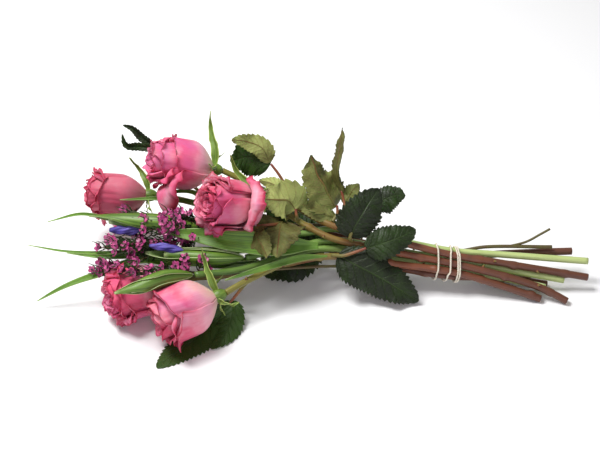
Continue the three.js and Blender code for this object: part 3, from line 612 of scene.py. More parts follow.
def leaf_material(name, blade, shade, vein, roughness, subsurface, vein_share, specular):
    """A net-veined leaf: a midrib, slanting side veins and a fine mottle between them, partly the leaf's own
    uneven green and partly painted shade in the darker shade colour.
    """
    s = Shader(name, roughness=roughness, subsurface=subsurface, scatter=(0.4, 1, 0.2), specular=specular)
    along, across = s.attribute("along"), s.attribute("across")
    off = s.math("ABSOLUTE", across)
    slant = s.minus(s.times(along, VEINS_PER_LEAF), s.times(off, VEIN_SLANT))
    place = s.math("ABSOLUTE", s.minus(s.math("FRACT", slant), 0.5))
    side_vein = s.range(place, 0.0, 0.085, 1.0, 0.0)
    midrib = s.range(off, 0.018, 0.06, 1.0, 0.0)
    cells = s.node("ShaderNodeTexVoronoi", Vector=s.place(), Scale=420.0)
    cells.feature = "DISTANCE_TO_EDGE"
    net = s.range(cells.outputs["Distance"], 0.0, 0.12, 1.0, 0.0)
    paler = s.times(s.minus(s.attribute("tone"), 0.5), 0.7)
    patch = s.add(s.noise(s.place(), 60, 4), paler)
    # The shade colour is painted shade, filling the mottle's low patches and more of each leaf the lower its
    # tone.
    base = s.blend(s.range(patch, 0.2, 0.85), shade, blade)
    base = s.blend(s.times(net, vein_share * 0.35), base, vein)
    veins = s.math("MAXIMUM", s.times(side_vein, 0.7), midrib)
    base = s.blend(s.times(veins, vein_share), base, vein)
    s.colour(base)
    height = s.add(s.times(veins, -1.0), s.times(net, -0.25))
    s.bump(height, 0.0007, 0.8)
    return s.material


def veined_material(name, base, light, edge, lines, roughness, edge_from):
    """A leaf or bract with parallel lengthwise veins and a margin of another colour."""
    s = Shader(name, roughness=roughness, coat=0.1, subsurface=0.1, scatter=(0.4, 1, 0.2), specular=0.4)
    across = s.attribute("across")
    veins = s.noise(s.surface_place((1.2, lines, 5)), 1.0, 3, 0.5)
    patch = s.noise(s.place(), 45, 3)
    colour = s.blend(s.range(s.add(veins, s.times(patch, 0.6)), 0.65, 0.95), base, light)
    rim = s.range(s.math("ABSOLUTE", across), edge_from, 1.0, 0.0, 1.0)
    colour = s.blend(rim, colour, edge)
    tip = s.range(s.attribute("along"), 0.93, 1.0, 0.0, 0.7)
    colour = s.blend(tip, colour, edge)
    s.colour(colour)
    s.bump(veins, 0.0004, 0.6)
    return s.material


def stem_material(name, cut, middle, neck, speck, roughness=0.45):
    """Bark or skin whose colour changes from the cut end to the neck."""
    s = Shader(name, roughness=roughness, coat=0.15, subsurface=0.05, scatter=(1, 0.5, 0.3), specular=0.4)
    patch = s.noise(s.place(), 55, 4)
    streak = s.noise(s.surface_place((14, 9, 3)), 1.0, 4, 0.6)
    place = s.add(s.attribute("along"), s.times(s.minus(patch, 0.5), 0.5))
    place = s.add(place, s.times(s.attribute("tone"), 0.35))
    colour = s.ramp(place, (0.0, cut), (0.3, cut), (0.62, middle), (0.95, neck))
    colour = s.blend(s.range(streak, 0.5, 0.72, 0, 0.55), colour, speck)
    s.colour(colour)
    s.bump(streak, 0.0006, 0.55)
    return s.material


def plain_material(name, colour, dark, roughness, scale, subsurface=0.0, sheen=0.0):
    """One colour, mottled with a darker one."""
    s = Shader(name, roughness=roughness, subsurface=subsurface, scatter=(1, 0.3, 0.4), sheen=sheen,
               specular=0.4)
    patch = s.noise(s.place(), scale, 4)
    shade = s.add(patch, s.times(s.attribute("tone"), 0.35))
    s.colour(s.blend(s.range(shade, 0.35, 0.85), colour, dark))
    s.bump(patch, 0.0003, 0.6)
    return s.material


# Petal colours: the light colour's clouds are partly painted highlight, and the lilac colour's clouds are
# painted shade.
PETAL = petal_material("rose_petal", "ead6b0", "e0587a", "f3b7c2", "a8153a", "c8386a", "b04a5e", "cf64a4")
# The inner faces' deep rose foot colour is painted shade in the heart's crevices.
PETAL_INSIDE = petal_material("rose_petal_inside", "b8305a", "e87d98", "f6c6d0", "a8153a", "cc4674",
                              "b8405c", "d478b0")
# Each leaf material's second colour is painted shade.
LEAF_TOP = leaf_material("rose_leaf_top", "2e4812", "141c08", "3f5526", 0.46, 0.03, 0.4, 0.3)
LEAF_PALE = leaf_material("rose_leaf_beneath", "a2ab62", "4c4a1e", "96844c", 0.62, 0.1, 0.45, 0.3)
SEPAL = veined_material("sepal", "4a6620", "748f38", "b3c46c", 9, 0.5, 0.72)
SPATHE = veined_material("iris_spathe", "3c5a16", "6a8a30", "b4c488", 16, 0.42, 0.97)
STRAP = veined_material("strap_leaf", "44681a", "6e9630", "98b068", 14, 0.45, 0.93)
BARK = stem_material("woody_stem", "633a28", "84482a", "7a752f", "3e2016")
CUT = plain_material("cut_end", "c9b184", "8a6b45", 0.8, 500)
PETIOLE = stem_material("leaf_petiole", "6f6a32", "8c5530", "7c3a2a", "5f2c22")
SOFT_STEM = stem_material("soft_stem", "bccb84", "7c9c4a", "4f7029", "7f9a4c", 0.4)
SOFT_CUT = plain_material("soft_cut_end", "e0e6b4", "b5c284", 0.7, 500)
IRIS_PETAL = veined_material("iris_petal", "342a86", "7263b4", "241c60", 22, 0.6, 0.9)
WAX_PETAL = plain_material("waxflower_petal", "da649c", "84205a", 0.35, 300, 0.15)
WAX_CUP = plain_material("waxflower_cup", "4a0e30", "22081a", 0.3, 300)
WAX_STAMEN = plain_material("waxflower_stamen", "c888a6", "8c4a6c", 0.5, 300)
TWIG = plain_material("waxflower_twig", "5a5628", "52302a", 0.5, 200)
NEEDLE = plain_material("waxflower_needle", "33491c", "1d2f12", 0.45, 200)
STRING = plain_material("cotton_string", "f1ebdc", "cfc3a8", 0.9, 900, 0.0, 0.4)


# ---- roses
TO_LIGHT = np.array([0, -0.77, 0.64])  # the way that the bunch's free blades turn
GOLDEN_ANGLE = 137.5  # the turn in degrees from each inner petal to the next
PETAL_THICKNESS = (0.7, 0.3)  # at its foot and at its rim
HEART_PETALS = 22
MIDDLE_PETALS = 5
# How deep each rose's pink is.
ROSE_TONES = {"rose_1": 0.8, "rose_2": 0.05, "rose_3": 0.15, "rose_4": 0.2, "rose_5": 0.2}
# Each outer petal's turn round the bloom in degrees, its height at its neck as a share of the bloom's,
# its curl in degrees, its roll's radius as a share of the bloom's, and how far its rim juts.
OUTER_PETALS = {
    "rose_1": [[0, 0.72, 110, 0.16, 5], [120, 0.76, 140, 0.14, 4], [240, 0.68, 120, 0.2, 7]],
    "rose_2": [[0, 0.66, 100, 0.12, 0.5], [120, 0.74, 105, 0.13, 3], [240, 0.64, 135, 0.26, 20]],
    "rose_3": [[20, 0.36, 120, 0.25, 18], [120, 0.74, 115, 0.14, 4], [240, 0.68, 125, 0.22, 6]],
    "rose_4": [[0, 0.74, 110, 0.16, 5], [120, 0.68, 135, 0.2, 6], [240, 0.72, 120, 0.15, 4]],
    "rose_5": [[0, 0.74, 120, 0.14, 5], [120, 0.64, 150, 0.22, 5], [240, 0.7, 110, 0.17, 6]],
}


def rose_axis(rose):
    """The way that a rose looks."""
    heading, pitch = math.radians(rose["heading"]), math.radians(rose["pitch"])
    level = math.cos(pitch)
    return np.array([level * math.cos(heading), level * math.sin(heading), math.sin(pitch)])


def bloom_frame(rose):
    """The rose's own axes (columns), +Z along its axis, and the foot of its petals."""
    axis = rose_axis(rose)
    side = unit([-axis[1], axis[0], 0])
    up = np.cross(axis, side)
    roll = math.radians(rose["roll"])
    x = side * math.cos(roll) + up * math.sin(roll)
    return np.stack([x, np.cross(axis, x), axis], 1), np.array(rose["centre"]) - axis * rose["height"] / 2


def petal_grid(rose, turn, half, belly, neck, top, curl, roll, seed, tuck, point, columns=35):
    """One petal in the rose's own axes, and the share of its length that each row is at.

    It is turned round the bloom by turn and half degrees wide each way. belly and neck are its radii
    where it is widest and where its rim starts to roll back, top is the height of the neck, curl the
    angle of the roll, roll its radius, tuck how far one edge stands out of the ring, and point how
    far the rim's middle juts.
    """
    body_rows, rim_rows, body_share = 24, 13, 0.72
    a = np.linspace(-1, 1, columns)[None, :]
    off = np.abs(a)
    t = np.linspace(0, 1, body_rows)[:, None]
    rest = 0.1 * rose["radius"] + 0.6
    swell = np.sin(np.pi / 2 * np.minimum(t / 0.6, 1)) ** 0.85
    r = rest + (belly - rest) * swell + (neck - belly) * smooth(0.55, 1, t)
    reach = top * (1 - 0.2 * off ** 2.4 + 0.04 * wobble(a * 4, seed))
    z = t * reach
    r = r * np.ones_like(a)
    slope = np.arctan2(r[-1] - r[-2], z[-1] - z[-2])
    s = np.linspace(0, 1, rim_rows + 1)[1:, None]
    least = mix(0.55, 0.85, smooth(6, 14, point))
    bend = curl * (mix(least, 1, smooth(0.05, 0.7, off)) + 0.2 * wobble(a * 3 + 2, seed + 5))
    angle = slope + np.radians(bend) * s
    jut = point * np.clip(1 - off / (0.2 + 0.04 * point), 0, 1) ** 1.5 * s ** 2
    rim_r = r[-1] + roll * (np.cos(slope) - np.cos(angle)) + jut * np.sin(angle)
    rim_z = z[-1] + roll * (np.sin(angle) - np.sin(slope)) + jut * np.cos(angle)
    r, z = np.vstack([r, rim_r]), np.vstack([z, rim_z])
    b = np.vstack([body_share * t, body_share + (1 - body_share) * s])
    ruffle = 0.065 * belly * wobble(a * 6 + b * 2, seed + 3) * smooth(0.5, 1, b)
    ruffle = ruffle + 0.05 * belly * wobble(a * 16, seed + 4) * smooth(0.75, 1, b)
    crease = 0.02 * belly * wobble(a * 9 + 3, seed + 6) * smooth(0.2, 0.7, b)
    widest = np.minimum(1, (1.05 * belly / np.maximum(r, 0.1)) ** 0.8)
    reach_round = half * a * mix(0.85, 1, smooth(0, 0.3, b)) * widest
    theta = np.radians(turn + reach_round + 4 * wobble(b * 4, seed + 9))
    r = np.maximum(r + tuck * a * smooth(0, 0.3, b) + ruffle + crease, 0.35)
    return np.stack([r * np.cos(theta), r * np.sin(theta), z], -1), b


def above_table(grid, thickness):
    """The grid with whatever would sink into the table pressed flat on it."""
    low = ORIGIN[2] + thickness
    height = grid[..., 2]
    pressed = low + 2 * np.exp(np.minimum(height - low, 2) / 2 - 1)
    grid[..., 2] = np.where(height < low + 2, pressed, height)
    return grid


def add_petal(piece, name, seed, **spec):
    """One petal of a named rose, thinner towards its rim and a little deeper or paler than the next."""
    rose = ROSES[name]
    basis, foot = bloom_frame(rose)
    grid, b = petal_grid(rose, seed=seed, **spec)
    tone = ROSE_TONES[name] + 0.2 * ((seed * 0.37) % 1)
    grid = above_table(grid @ basis.T + foot, PETAL_THICKNESS[0])
    piece.shell(grid, mix(*PETAL_THICKNESS, b ** 2), tone=tone, back=1, along=b[:, 0])


def inner_petals(name, rose, seed):
    """The folded petals, from the tight spiral at the middle outwards.

    Each gets wider, rounder and more curled than the one inside it.
    """
    piece = Piece()
    radius, height = rose["radius"], rose["height"]
    for i, f in enumerate(np.linspace(0, 1, HEART_PETALS)):
        belly = radius * mix(0.1, 0.7, f ** 0.85)
        add_petal(
            piece, name, seed + i, turn=GOLDEN_ANGLE * i, half=mix(128, 72, f ** 0.6), belly=belly,
            neck=belly * mix(0.72, 0.97, f), top=height * mix(0.84, 0.92, smooth(0, 0.6, f)),
            curl=mix(15, 85, f ** 1.6), roll=mix(0.7, 2.2, f), tuck=mix(1.2, 0.5, f),
            point=mix(0.2, 1.6, f),
        )
    for i, f in enumerate(np.linspace(0, 1, MIDDLE_PETALS)):
        add_petal(
            piece, name, seed + 30 + i, turn=60 + GOLDEN_ANGLE * i, half=mix(66, 60, f),
            belly=radius * mix(0.78, 0.91, f), neck=radius * mix(0.74, 0.9, f),
            top=height * mix(0.89, 0.77, f), curl=mix(80, 125, f), roll=radius * mix(0.1, 0.16, f),
            tuck=0.9, point=2.4,
        )
    piece.make(f"{name}_inner_petals", [PETAL, PETAL_INSIDE], f"{name}_heart", "petal")


def outer_petals(name, rose, seed):
    """Three petals that stand free; the second lies a little under its neighbours."""
    for i, (turn, top, curl, roll, point) in enumerate(OUTER_PETALS[name]):
        piece = Piece()
        radius = rose["radius"] * (0.97 if i == 1 else 1)
        add_petal(
            piece, name, seed + 50 + i, turn=turn, half=66, belly=radius, neck=radius,
            top=rose["height"] * top, curl=curl, roll=radius * roll, tuck=1.2, point=point, columns=61,
        )
        piece.make(f"{name}_outer_{i + 1}", [PETAL, PETAL_INSIDE], f"{name}_outer_petal_{i + 1}", "petal")


def calyx(name, rose, seed):
    """The hip and the free sepals that arch away from it, the first of them turned to the light."""
    foot = bloom_frame(rose)[1]
    piece = Piece()
    axis = rose_axis(rose)
    hip = Path([foot - axis * HIP_LENGTH, foot - axis * (HIP_LENGTH / 2), foot + axis * 1.5])
    piece.tube(hip, lambda t: 2.9 + 2.9 * np.sin(np.pi * t ** 0.8 * 0.72), sides=20, steps=18)
    start = foot - axis * 2
    for k, (direction, length) in enumerate(SEPALS[name]):
        way = unit(direction)
        outward = unit(way - axis * np.dot(way, axis))
        bend = 0.1 * length * unit(np.cross(way, axis)) * (1 if k % 2 else -1)
        arch = 0.16 * length
        path = Path([
            start + outward * 3.6,
            start + outward * (3.6 + arch) + way * 0.12 * length,
            start + outward * (3 + arch) + way * 0.55 * length + bend,
            start + outward * 3 + way * length - bend * 0.6,
        ])
        facing = axis * 0.6 + TO_LIGHT if k == 0 else axis
        blade(piece, path, facing, 0.13 * length + 4.2, 24, sepal_outline, seed + k, lobed=True, wave=0.8,
              columns=15, rows=60)
    piece.make(f"{name}_calyx_piece", [SEPAL], f"{name}_calyx", "sepal")


# ---- blades: sepals, leaflets and straps
# A rose leaf's slots: 0 its upper face, 1 its under side, 2 its stalk and midribs.
# An outline gives a blade's half width, as a share of its widest, at each share t of its length.
def drop_outline(t):
    return 0.03 + 2.1 * np.power(t, 0.35) * (1 - t)


def leaflet_outline(t):
    return 0.03 + 2.14 * np.power(t, 0.45) * np.power(1 - t, 0.75)


def strap_outline(t):
    return 0.04 + 0.96 * np.power(1 - t * t, 0.7) * mix(0.25, 1, smooth(0, 0.3, t))


def sepal_outline(t):
    return 0.06 + 0.94 * np.power(1 - t, 0.85) * mix(0.6, 1, smooth(0, 0.22, t))


def blade_edge(b, width, outline, seed, hand, teeth, lobed):
    """How far one margin of a blade stands off its midrib at each share b of its length."""
    share = outline(b)
    edge = width / 2 * share + 0.03 * width * wobble(b * 7, seed + hand) * share
    if teeth:
        saw = np.mod(b * teeth + 0.37 * hand, 1)
        size = (0.06 * width + 0.5) * smooth(0.02, 0.1, b) * np.minimum(1, 1.5 * share)
        edge = edge + size * (saw ** 0.8 - 0.4)
    if lobed:
        lobe = np.clip(np.sin(b * 19 + hand) - 0.5, 0, 1)
        edge = edge + 0.22 * width * lobe * smooth(0.15, 0.3, b) * (1 - b)
    return np.maximum(edge, 0.12)


def blade(piece, path, facing, width, fold, outline, seed, teeth=0, lobed=False, wave=0.0, curl=0.0,
          quilt=0.0, thickness=0.4, front=0, back=0, rib=False, tone=None, columns=15, rows=140):
    """A flat leaf on its midrib, its upper face to facing, each half folded up by fold degrees.

    wave is the height of the waves along its margin, curl how far the margin turns down, quilt how
    deep the side veins sink, and rib adds a midrib that stands out of the under side.
    """
    b = np.linspace(0, 1, rows)[:, None]
    a = np.linspace(-1, 1, columns)[None, :]
    off = np.abs(a)
    way = path.tangent(b[:, 0])
    side = unit(np.cross(way, np.asarray(facing, float)))
    upper = np.cross(side, way)
    left, right = (blade_edge(b, width, outline, seed, hand, teeth, lobed) for hand in (-1, 1))
    out = np.where(a < 0, left, right) * off
    tilt = math.radians(fold)
    lift = out * math.tan(tilt) - curl * out ** 2 / width
    waves = np.where(a < 0, wobble(b * 10, seed + 7), wobble(b * 10 + 1.7, seed + 8))
    lift = lift + wave * off ** 1.7 * waves + 0.7 * wave * wobble(b * 5, seed + 11)
    vein = np.abs(np.mod(VEINS_PER_LEAF * b - VEIN_SLANT * off, 1) - 0.5)
    lift = lift - quilt * np.exp(-(vein / 0.13) ** 2) * smooth(0, 0.2, off)
    across = np.sign(a) * out * math.cos(tilt)
    grid = path.at(b[:, 0])[:, None] + side[:, None] * across[..., None] + upper[:, None] * lift[..., None]
    tone = (seed * 0.31) % 1 if tone is None else tone
    piece.shell(above_table(grid, thickness), thickness, tone=tone, front=front, back=back)
    if rib:
        beneath = Path((grid[:, columns // 2] - 0.35 * upper)[::6])
        piece.tube(beneath, lambda t: 0.012 * width * (1 - 0.7 * t), sides=8, steps=60, slot=2)


# How pale or dull some leaves are, which sets how much painted shade they carry; the others have the plain
# tone.
LEAF_TONES = {"leaf_pale": 0.3, "leaf_curled": 0.9, "leaf_cupped": 0.7, "leaf_under": 1.4}
PLAIN_LEAF_TONE = 0.1
TOOTH_SPACING = 4


def rose_leaf(name, leaf, seed):
    """Toothed leaflets on one stalk; each leaflet is a little paler than the one before."""
    piece = Piece()
    piece.tube(Path(leaf["stalk"]), lambda t: mix(*STALK_RADIUS, t), sides=12, steps=30, slot=2)
    for k, leaflet in enumerate(leaf["leaflets"]):
        path = Path(leaflet["path"])
        width = leaflet["width"]
        outline = drop_outline if leaflet["drop"] else leaflet_outline
        blade(
            piece, path, leaflet["facing"], width, leaflet["fold"], outline, seed + 3 * k,
            teeth=max(12, int(path.length / TOOTH_SPACING)), wave=0.07 * width, curl=0.7, quilt=0.3,
            back=1, rib=True, tone=LEAF_TONES.get(name, PLAIN_LEAF_TONE) + 0.2 * k, columns=31,
            rows=int(path.length * 2) + 20,
        )
    piece.make(f"{name}_piece", [LEAF_TOP, LEAF_PALE, PETIOLE], name, "leaf")


def strap_leaf(piece, strap, seed, slot=0):
    blade(piece, Path(strap["path"]), strap["facing"], strap["width"], strap["fold"], strap_outline, seed,
          wave=0.4, thickness=0.6, front=slot, back=slot)


# ---- iris buds
def spindle(t, blunt=0.985):
    """A bud's radius, as a share of its widest, at each share t of its length."""
    return 0.05 + 0.95 * np.power(np.clip(np.sin(np.pi * np.power(t, 0.8) * blunt), 0, 1), 0.8)


def wrapped(piece, path, radius, facing, turn, span, seed, lip=0.0, slot=0, taper=0.72):
    """A bract rolled round a bud's axis: span degrees wide, its middle turned from facing by turn.

    lip is how far its edges stand off, and taper how much of its width it loses towards its tip.
    """
    b = np.linspace(0, 1, 90)[:, None]
    a = np.linspace(-1, 1, 31)[None, :]
    way = path.tangent(b[:, 0])
    side = unit(np.cross(way, np.asarray(facing, float)))
    back = np.cross(way, side)
    wide = span / 2 * (1 - smooth(0.45, 1.0, b) * taper)
    angle = np.radians(turn + wide * a)
    r = radius * spindle(b) * (1 + 0.03 * wobble(b * 5 + a * 2, seed))
    r = r + lip * np.abs(a) ** 4 + 0.25 * a
    grid = (path.at(b[:, 0])[:, None] + side[:, None] * (r * np.sin(angle))[..., None]
            + back[:, None] * (r * np.cos(angle))[..., None])
    piece.shell(grid, 0.45, tone=(seed * 0.23) % 1, front=slot, back=slot)


def spathe(bud, seed):
    """Two bracts, one inside the other, round a green core. They part where petals come out."""
    piece = Piece()
    path, radius = Path(bud["path"]), bud["radius"]
    if bud["open"]:
        wrapped(piece, path, radius - 0.7, bud["open"], 20, 250, seed)
        wrapped(piece, path, radius, bud["open"], 0, 270, seed + 1, lip=0.5, taper=0.45)
    else:
        wrapped(piece, path, radius - 0.7, TO_LIGHT, 150, 250, seed)
        wrapped(piece, path, radius, TO_LIGHT, 10, 300, seed + 1, lip=0.5)
    core_share = 0.8
    core = Path(path.at(np.linspace(0, core_share, 6)))
    piece.tube(core, lambda t: (radius - 1.6) * spindle(t * core_share), sides=16, steps=30)
    return piece


def iris_petals(name, spec):
    """Petals rolled to a point, like a furled umbrella."""
    piece = Piece()

    def twist(t, angle):
        return 1 + 0.16 * np.cos(3 * (angle + 5 * t)) - 0.08 * np.cos(9 * angle + 12 * t)

    path = Path(spec["path"])
    piece.tube(path, lambda t: spec["radius"] * spindle(t, 0.93), sides=36, steps=70, shape=twist)
    piece.make(f"{name}_rolled_petals", [IRIS_PETAL], f"{name}_petals", "iris_petal")


# ---- stems
# How far each woody stem's colour has turned from red-brown to olive.
STEM_TONES = {"rose_1": 0.0, "rose_2": 0.15, "rose_3": 0.0, "rose_4": 0.1, "rose_5": 0.5}
KNOTS_AT = np.array([0.06, 0.19, 0.33, 0.5, 0.67, 0.86])  # shares of a stem's length
THORNS_AT = [0.13, 0.27, 0.4, 0.55, 0.6, 0.74, 0.8, 0.93]


def stem_path(name):
    """A stem's route; a rose's ends just short of its hip."""
    points = list(STEMS[name])
    if name in ROSES:
        rose = ROSES[name]
        reach = rose["height"] / 2 + HIP_LENGTH + GAP
        points.append(np.array(rose["centre"]) - rose_axis(rose) * reach)
    return Path(points)


def woody_stem(name, seed):
    """A rose's stem with one-sided knots at its leaf scars, and thorns."""
    piece = Piece()
    path = stem_path(name)
    knots = KNOTS_AT + 0.03 * rng.standard_normal(len(KNOTS_AT))
    turns = rng.uniform(0, 2 * np.pi, len(KNOTS_AT))

    def shape(t, angle):
        swelling = 0
        for knot, turn in zip(knots, turns):
            one_sided = 0.1 + 0.3 * np.clip(np.cos(angle - turn), 0, 1) ** 2
            swelling = swelling + one_sided * np.exp(-((t - knot) / 0.011) ** 2)
            swelling = swelling - 0.06 * np.exp(-((t - knot + 0.012) / 0.003) ** 2)
        uneven = wobble(t * 30 + np.cos(angle), seed) + np.cos(3 * angle + 9 * t)
        return 0.95 + swelling + 0.03 * uneven

    piece.tube(path, lambda t: mix(*WOODY_RADIUS, t), sides=24, steps=300, tone=STEM_TONES[name],
               end_slot=1, shape=shape)
    for place in THORNS_AT:
        t = place + 0.02 * rng.standard_normal()
        around = rng.uniform(0, 2 * np.pi)
        way = path.tangent(t)
        side = unit(np.cross(way, [0, 0, 1.0]))
        out = side * math.cos(around) + np.cross(way, side) * math.sin(around)
        root = path.at(t) + out * 2.6
        thorn = Path([root, root + out * 1.3 + way * 0.2, root + out * 3.0 - way * 1.3])
        piece.tube(thorn, lambda u: 1.3 * (1 - u) ** 0.8 + 0.08, sides=10, steps=10, tone=0.8)
    piece.make(f"{name}_stem_piece", [BARK, CUT], f"{name}_stem", "woody_stem")


def soft_stem(piece, name, seed):
    """An iris's smooth stem with faint ribs."""
    def ribs(t, angle):
        return 1 + 0.02 * np.cos(8 * angle) + 0.015 * wobble(t * 12, seed)

    piece.tube(stem_path(name), lambda t: mix(*SOFT_RADIUS, t), sides=32, steps=120, end_slot=1, shape=ribs)


# ---- waxflower
# A sprig's slots: 0 petal, 1 cup, 2 stamen, 3 twig, 4 needle.
WAX_PETALS = 5
WAX_STAMENS = 8
TWIGS_PER_SPRIG = 34  # the leafy twigs among and behind the front flowers
FINE_RADIUS = (0.65, 0.38)  # of a leafy twig at its root and at its end
NEEDLE_SPACING = 4.5


def aligned(direction):
    """Axes (columns) whose +Z is direction."""
    z = unit(direction)
    x = unit(np.cross([0.3, 1, 0.2], z))
    return np.stack([x, np.cross(z, x), z], 1)


def waxflower(piece, centre, away, size, seed):
    """A cup with five rounded petals and a ring of stamens."""
    basis = aligned(away)
    axis = basis[:, 2]
    ring = 1.15  # how far the petals' feet and the stamens stand off the axis
    cup = Path([centre - axis * 2.6 * size, centre - axis * size, centre + axis * 0.3 * size])
    piece.tube(cup, lambda t: size * mix(0.7, 1.75, smooth(0, 1, t)), sides=14, steps=8, slot=1)
    opening = 0.25 + 0.3 * ((seed * 0.61) % 1)
    a = np.linspace(-1, 1, 9)[None, :]
    b = np.linspace(0, 1, 9)[:, None]
    out = ring + 2.7 * b
    wide = 1.5 * a * np.sqrt(np.clip(1 - (2 * b - 1) ** 2 * 0.93, 0, 1))
    up = 0.25 + opening * 2.4 * b ** 1.4 - 0.35 * a ** 2 * b + 0.5 * (1 - opening) * a ** 2
    for k in range(WAX_PETALS):
        turn = 2 * math.pi * (k / WAX_PETALS + 0.13 * ((seed * 0.77) % 1))
        x = out * math.cos(turn) - wide * math.sin(turn)
        y = out * math.sin(turn) + wide * math.cos(turn)
        grid = np.stack(np.broadcast_arrays(x, y, up), -1) * size
        piece.shell(grid @ basis.T + centre, 0.3 * size, tone=(seed * 0.29 + 0.2 * k) % 1)
    for turn in np.linspace(0, 2 * math.pi, WAX_STAMENS, endpoint=False):
        spot = np.array([ring * math.cos(turn), ring * math.sin(turn), 0.75]) * size
        piece.ball(basis @ spot + centre, 0.24 * size, slot=2)


def clear_of_roses(point):
    """Whether a point is well outside every bloom."""
    for rose in ROSES.values():
        axis = rose_axis(rose)
        along = np.dot(point - rose["centre"], axis)
        off = np.linalg.norm(point - rose["centre"] - along * axis)
        if abs(along) < rose["height"] / 2 + 10 and off < rose["radius"] + 8:
            return False
    return True


def leafy_twig(piece, root, end):
    """A thin twig with pairs of needle leaves."""
    reach = end - root
    length = np.linalg.norm(reach)
    path = Path([root, root + 0.5 * reach + [0, 0, -0.08 * length], end])
    piece.tube(path, lambda t: mix(*FINE_RADIUS, t), sides=7, steps=14, slot=3, tone=rng.uniform(0, 1))
    for t in np.arange(0.15, 1.0, NEEDLE_SPACING / max(length, 2 * NEEDLE_SPACING)):
        way = path.tangent(t)
        side = unit(np.cross(way, rng.standard_normal(3)))
        for hand in (-1, 1):
            base = path.at(t)
            size = rng.uniform(6, 11)
            out = hand * side * size
            needle = Path([base, base + 0.35 * out + way * 0.35 * size, base + 0.5 * out + way * 0.9 * size])
            piece.tube(needle, lambda u: 0.6 * (1 - u) ** 0.5 + 0.08, sides=6, steps=6, slot=4,
                       tone=rng.uniform(0, 1))


def nearest_on(path, shares, point):
    """The place nearest to point among those at the given shares of a path."""
    return min((path.at(t) for t in shares), key=lambda p: np.linalg.norm(p - point))


def sprig(name, seed):
    """A stem with its spurs, its placed front flowers, and leafy twigs that end in flowers or buds."""
    piece = Piece()
    path = stem_path(name)
    piece.tube(path, lambda t: mix(*TWIG_RADIUS, t), sides=12, steps=160, slot=3)
    for spur in SPURS.get(name, []):
        piece.tube(Path(spur), TWIG_RADIUS[1], sides=10, steps=20, slot=3)
    for k, place in enumerate(WAXFLOWERS[name]):
        flower = np.array(place, float)
        root = nearest_on(path, (0.8, 0.85, 0.9, 0.95, 1.0), flower)
        leafy_twig(piece, root, flower)
        away = unit(unit(flower - root) + 0.5 * rng.standard_normal(3) + [0, -0.5, 0.6])
        waxflower(piece, flower, away, rng.uniform(1.15, 1.4), seed * 7 + k)
    for k in range(TWIGS_PER_SPRIG):
        near = np.array(WAXFLOWERS[name][k % len(WAXFLOWERS[name])], float)
        end = near + rng.standard_normal(3) * [8, 6, 5] - [0, 0, 3]
        if not clear_of_roses(end):
            continue
        root = nearest_on(path, (0.74, 0.8, 0.86, 0.92, 0.98), end)
        leafy_twig(piece, root, end)
        away = unit(unit(end - root) + 0.4 * rng.standard_normal(3) + [0, -0.5, 0.6])
        if k % 5 < 4:
            waxflower(piece, end, away, rng.uniform(0.95, 1.3), seed * 11 + k)
        else:
            piece.ball(end, rng.uniform(1.2, 1.9), tone=rng.uniform(0.5, 1), slot=k % 2)
    piece.make(f"{name}_sprig", [WAX_PETAL, WAX_CUP, WAX_STAMEN, TWIG, NEEDLE], name, "waxflower")


# ---- string
def circles_at(x):
    """Each stem's y, z and radius where it crosses the plane at x."""
    circles = []
    for name in STEMS:
        path = stem_path(name)
        t = float(np.interp(-x, -path.points[:, 0], path.reach) / path.length)
        radii = WOODY_RADIUS if name in ROSES else SOFT_RADIUS if name.startswith("iris") else TWIG_RADIUS
        p = path.at(t)
        circles.append((p[1], p[2], mix(*radii, t)))
    return circles


def string_path():
    """Four turns, each bowed towards the cut ends on its upper side."""
    turns = len(STRING_TURNS_AT) - 1
    points = []
    for k in range(turns * POINTS_PER_TURN + 1):
        turn = k / POINTS_PER_TURN
        i = min(turns - 1, int(turn))
        angle, d = -2 * math.pi * turn, 0.02
        bow = STRING_BOW * math.cos(angle - STRING_BOW_AT)
        x = mix(STRING_TURNS_AT[i], STRING_TURNS_AT[i + 1], turn - i) + bow
        circles = circles_at(x)

        def reach(way):
            edge = max(y * math.cos(way) + z * math.sin(way) + r for y, z, r in circles)
            return edge + STRING_RADIUS + STRING_SLACK

        h, slope = reach(angle), (reach(angle + d) - reach(angle - d)) / (2 * d)
        c, w = math.cos(angle), math.sin(angle)
        points.append([x, h * c - slope * w, h * w + slope * c])
    return Path(points)


def string_tie():
    """Plies of cotton twisted together."""
    plies, lay_length, ply_radius, ply_offset = 3, 4.2, 0.42, 0.4
    piece = Piece()
    path = string_path()
    t = np.linspace(0, 1, 1500)[::3]
    centre, way = path.at(t), path.tangent(t)
    side = unit(np.cross(way, [1.0, 0, 0]))
    up = np.cross(way, side)
    for k in range(plies):
        angle = 2 * math.pi * (k / plies + t * path.length / lay_length)[:, None]
        ply = Path(centre + ply_offset * (side * np.cos(angle) + up * np.sin(angle)))
        piece.tube(ply, ply_radius, sides=7, steps=1100, tone=0.2 * k)
    piece.make("string_tie_piece", [STRING], "string_tie", "string")


# ---- the bunch
for number, (name, rose) in enumerate(ROSES.items()):
    inner_petals(name, rose, 100 * number)
    outer_petals(name, rose, 100 * number)
    calyx(name, rose, 100 * number + 70)
    woody_stem(name, 100 * number + 80)
for number, (name, bud) in enumerate(SPATHES.items()):
    stem = Piece()
    soft_stem(stem, name, number)
    if name == "iris_4":
        wrapped(stem, Path(bud["path"]), bud["radius"], TO_LIGHT, 0, 330, number, slot=2)
        stem.make(f"{name}_shoot_piece", [SOFT_STEM, SOFT_CUT, SPATHE], f"{name}_shoot", "soft_stem")
        continue
    for k, strap in enumerate(bud.get("blades", [])):
        strap_leaf(stem, strap, 560 + k, slot=2)
    stem.make(f"{name}_stem_piece", [SOFT_STEM, SOFT_CUT, STRAP], f"{name}_stem", "soft_stem")
    spathe(bud, 20 + number).make(f"{name}_bracts", [SPATHE], f"{name}_spathe", "spathe")
for name, spec in IRIS_PETALS.items():
    iris_petals(name, spec)
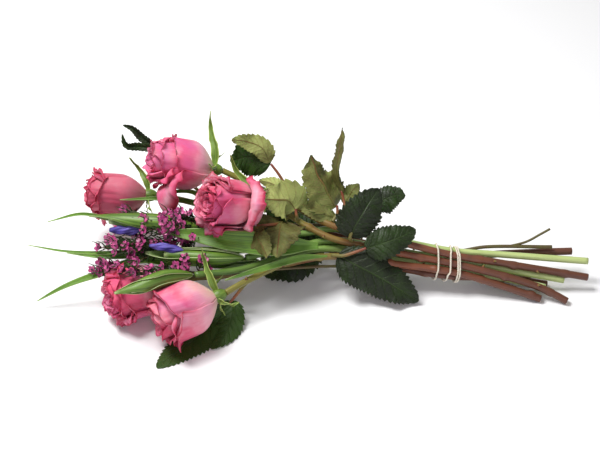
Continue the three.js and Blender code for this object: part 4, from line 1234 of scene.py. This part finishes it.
for number, (name, leaf) in enumerate(LEAVES.items()):
    rose_leaf(name, leaf, 300 + 10 * number)
for number, (name, strap) in enumerate(STRAPS.items()):
    piece = Piece()
    strap_leaf(piece, strap, 500 + 10 * number)
    piece.make(f"{name}_piece", [STRAP], name, "strap_leaf")
for number, name in enumerate(WAXFLOWERS):
    sprig(name, 600 + number)
string_tie()

# ---- table, light and camera
scene = bpy.context.scene
TABLE_COLOUR = (0.92, 0.92, 0.92, 1)
WORLD_LIGHT = 0.36
bpy.ops.mesh.primitive_plane_add(size=6)
table = bpy.context.object
table.name = "table"
paper = Shader("white_table", roughness=0.7)
paper.colour(TABLE_COLOUR)
table.data.materials.append(paper.material)

world = bpy.data.worlds.new("studio")
world.use_nodes = True
sky = world.node_tree.nodes["Background"]
sky.inputs["Color"].default_value = (1, 1, 1, 1)
sky.inputs["Strength"].default_value = WORLD_LIGHT
scene.world = world


def facing_along(way):
    """The rotation of a lamp or a camera that looks along way."""
    return Vector(way).to_track_quat("-Z", "Y").to_euler()


def softbox(name, place, aim, size, power, tint=(1, 1, 1)):
    light = bpy.data.lights.new(name, "AREA")
    light.size = size
    light.energy = power
    light.color = tint
    box = bpy.data.objects.new(name, light)
    box.location = place
    box.rotation_euler = facing_along(np.subtract(aim, place))
    scene.collection.objects.link(box)


softbox("key", (-0.45, 0.1, 1.15), (-0.02, 0, 0.04), 0.5, 18)
softbox("fill", (0.3, -1.1, 0.5), (0.0, 0, 0.04), 0.9, 3, (0.86, 0.8, 1.0))

CAMERA_ELEVATION = math.radians(40)
CAMERA_DISTANCE = 1.2467
TARGET = (np.array([0, 8, 62.2]) - ORIGIN) * MM
camera_data = bpy.data.cameras.new("camera")
camera_data.lens = 85
camera_data.sensor_width = 36
camera = bpy.data.objects.new("camera", camera_data)
away = np.array([0, -math.cos(CAMERA_ELEVATION), math.sin(CAMERA_ELEVATION)])
camera.location = TARGET + away * CAMERA_DISTANCE
camera.rotation_euler = facing_along(-away)
scene.collection.objects.link(camera)
scene.camera = camera
scene.view_settings.view_transform = "Standard"
